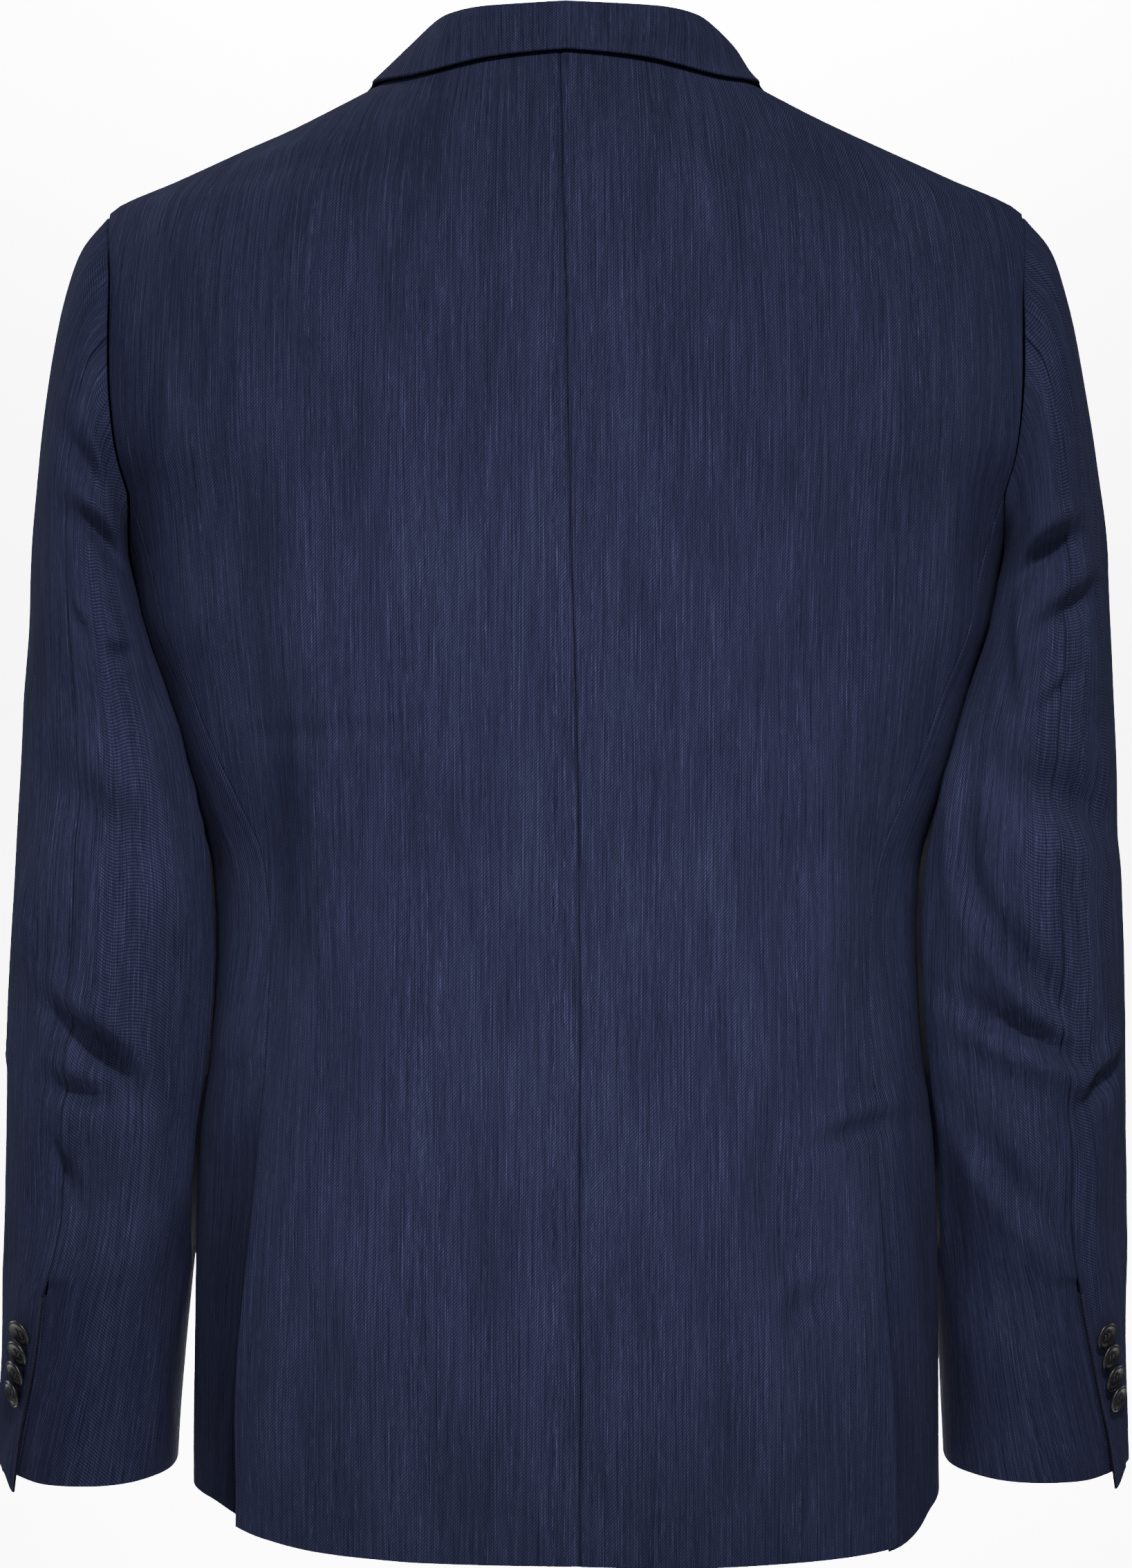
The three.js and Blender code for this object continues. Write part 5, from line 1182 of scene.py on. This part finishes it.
def make_cuff_buttons(key):
    """Four kissing buttons down the edge of the vent, each leaning on the next one down."""
    side, lap, turn = SIDES[key], SEAM_LAPS["back"], -CUFF_BUTTON["in"]
    lean = math.radians(CUFF_BUTTON["lean"])
    lift = CUFF_BUTTON["off"] + CUFF_BUTTON["radius"] * CUFF_BUTTON["foot"] * math.sin(lean)
    for k, at in enumerate(cuff_seat_rows(key)):
        p = sleeve_point(key, at, lap, turn)
        down = unit(sleeve_point(key, at + 0.2, lap, turn) - p)
        round_it = sleeve_point(key, at, lap, turn + 4) - sleeve_point(key, at, lap, turn - 4)
        n = unit(np.cross(round_it, down))
        n = n if n[1] > 0 else -n
        p, n, down = (mirrored(v, side) for v in (p, n, down))
        across = unit(np.cross(n, down))
        face = unit(n * math.cos(lean) + np.cross(across, n) * math.sin(lean))
        along = unit(np.cross(across, face))
        make_button(f"Cuff_button_{key}_{k + 1}", CUFF_BUTTON, p + n * lift, across, along, face)


def make_cuff_sewing(key):
    """The cuff's worked buttonholes, from under each button outward, and the overcast vent edge."""
    side, lap = SIDES[key], SEAM_LAPS["back"]
    for k, at in enumerate(cuff_seat_rows(key)):
        turns = -CUFF_BUTTON["in"] - np.linspace(0, 15, 12)
        line = sleeve_point(key, at + 0 * turns, lap + 0 * turns, turns)
        up = off_sleeve(key, at + 0 * turns, line)
        buttonhole(f"Cuff_buttonhole_{key}_{k + 1}", mirrored(line, side), mirrored(up, side))
    at = np.linspace(CUFF_VENT_SECTION + 0.1, LAST_SECTION - 0.05, 60)
    line = sleeve_point(key, at, lap + 0 * at, -0.4 + 0 * at)
    line[:, 2] -= CUFF_CORNER["drop"] * ease(CUFF_CORNER["from"], LAST_SECTION, at)
    up = off_sleeve(key, at, line)
    points, way, ups = along_line(mirrored(line, side), mirrored(up, side), 0.9)
    paths = bars(points, np.cross(ups, way), ups, -0.9, 0.9)
    threads(f"Cuff_overcast_{key}", paths, ups, THREAD_RADIUS["overcast"])


def make_front_buttons():
    """The front's two buttons, on the left front."""
    for name, z in FRONT_BUTTON_HEIGHTS.items():
        p, n, away = front_place("left", np.array(0.0), np.array(z))
        up, p = unit(np.cross(n, away)), p + n * FRONT_BUTTON["off"]
        make_button(f"Front_button_{name}", FRONT_BUTTON, p, away, up, n)


def make_front_buttonholes():
    """The left front's buttonholes, level behind the buttons, and the lapel's, along its gorge."""
    for name, z in FRONT_BUTTON_HEIGHTS.items():
        x = np.linspace(-1, 17, 14)
        p, n, _ = front_place("left", x, z + 0 * x)
        buttonhole(f"Front_buttonhole_{name}", p, n)
    t = np.linspace(0, 1, 12)
    p, n, _ = front_place("left", 124 - 22 * t, -88 + 3.5 * t)
    buttonhole("Lapel_buttonhole", p + n * leaf_height(1.0 - 0.3 * t)[:, None], n)


def make_stage():
    """A pale studio floor far below the jacket, that curves up into a backdrop well behind it."""
    floor, behind, bend, wide = -2000.0, -6200.0, 500.0, 1900.0
    turn = np.linspace(0, np.pi / 2, 24)
    y = np.concatenate([[5200], behind + bend - bend * np.sin(turn), [behind]])
    z = np.concatenate([[floor], floor + bend - bend * np.cos(turn), [1700]])
    points = np.stack(np.broadcast_arrays(np.array([-wide, wide]), y[:, None], z[:, None]), -1)
    sweep = mesh_object("Studio_floor", points.reshape(-1, 3), quads(points.shape[:2]))
    sweep.data.materials.append(studio_paper())


# Lamps: place and target in metres, size in metres or cone in degrees, power in watts
LAMPS = {
    "Key_softbox": ((-0.25, 2.2, 1.75), (0, 0, -0.35), (0.3, 0.3), 62),
    "Left_side_softbox": ((2.3, -0.8, -0.1), (0.25, 0, -0.4), (0.5, 1.0), 17),
    "Right_side_softbox": ((-2.3, -0.8, -0.1), (-0.25, 0, -0.4), (0.5, 1.0), 7),
    "Front_softbox": ((1.3, -1.7, 1.5), (0, 0, -0.3), (0.5, 0.5), 12),
    "Back_lamp": ((0.1, 2.6, -0.1), (0, 0, -0.42), 20.5, 178),
    "Backdrop_high_light": ((0, -4.9, 2.1), (0, -6.2, 0.2), (3.4, 0.8), 900),
    "Backdrop_low_light": ((0, -4.9, -1.9), (0, -6.2, -0.8), (3.4, 0.5), 500),
}


def make_lamps():
    """Soft square lights, and a round one that fades evenly from its middle to its rim, each with
    its -Z axis towards its target."""
    for name, (place, target, size, power) in LAMPS.items():
        if isinstance(size, tuple):
            data = bpy.data.lights.new(name, "AREA")
            data.shape, data.size, data.size_y = "RECTANGLE", *size
        else:
            data = bpy.data.lights.new(name, "SPOT")
            data.spot_size, data.spot_blend, data.shadow_soft_size = math.radians(size), 1.0, 0.18
        data.energy = power
        lamp = bpy.data.objects.new(name, data)
        x, y, z = np.array(place) - np.array(target)
        lamp.location = place
        lamp.rotation_euler = (math.atan2(math.hypot(x, y), z), 0, math.atan2(x, -y))
        bpy.context.scene.collection.objects.link(lamp)
    world = bpy.data.worlds.new("Soft studio")
    world.use_nodes = True
    inputs = world.node_tree.nodes["Background"].inputs
    inputs["Color"].default_value, inputs["Strength"].default_value = (1, 1, 1, 1), 0.07
    bpy.context.scene.world = world


def make_camera():
    """The camera, straight behind the jacket."""
    data = bpy.data.cameras.new("Camera")
    data.sensor_width, data.lens = 36.0, 99.3
    data.clip_start, data.clip_end = 0.05, 50.0
    camera = bpy.data.objects.new("Camera", data)
    camera.location = (0.0, 2.210, -0.350)
    camera.rotation_euler = (math.pi / 2, 0, math.pi)
    bpy.context.scene.collection.objects.link(camera)
    bpy.context.scene.camera = camera


make_lamps()
make_camera()
make_stage()
for side_name in SIDES:
    make_back(side_name)
    make_side(side_name)
    make_front(side_name)
    make_lapel(side_name)
    make_sleeve(side_name)
    make_flap(side_name)
    make_cuff_buttons(side_name)
    make_cuff_sewing(side_name)
make_collar()
make_welt()
make_front_buttons()
make_front_buttonholes()
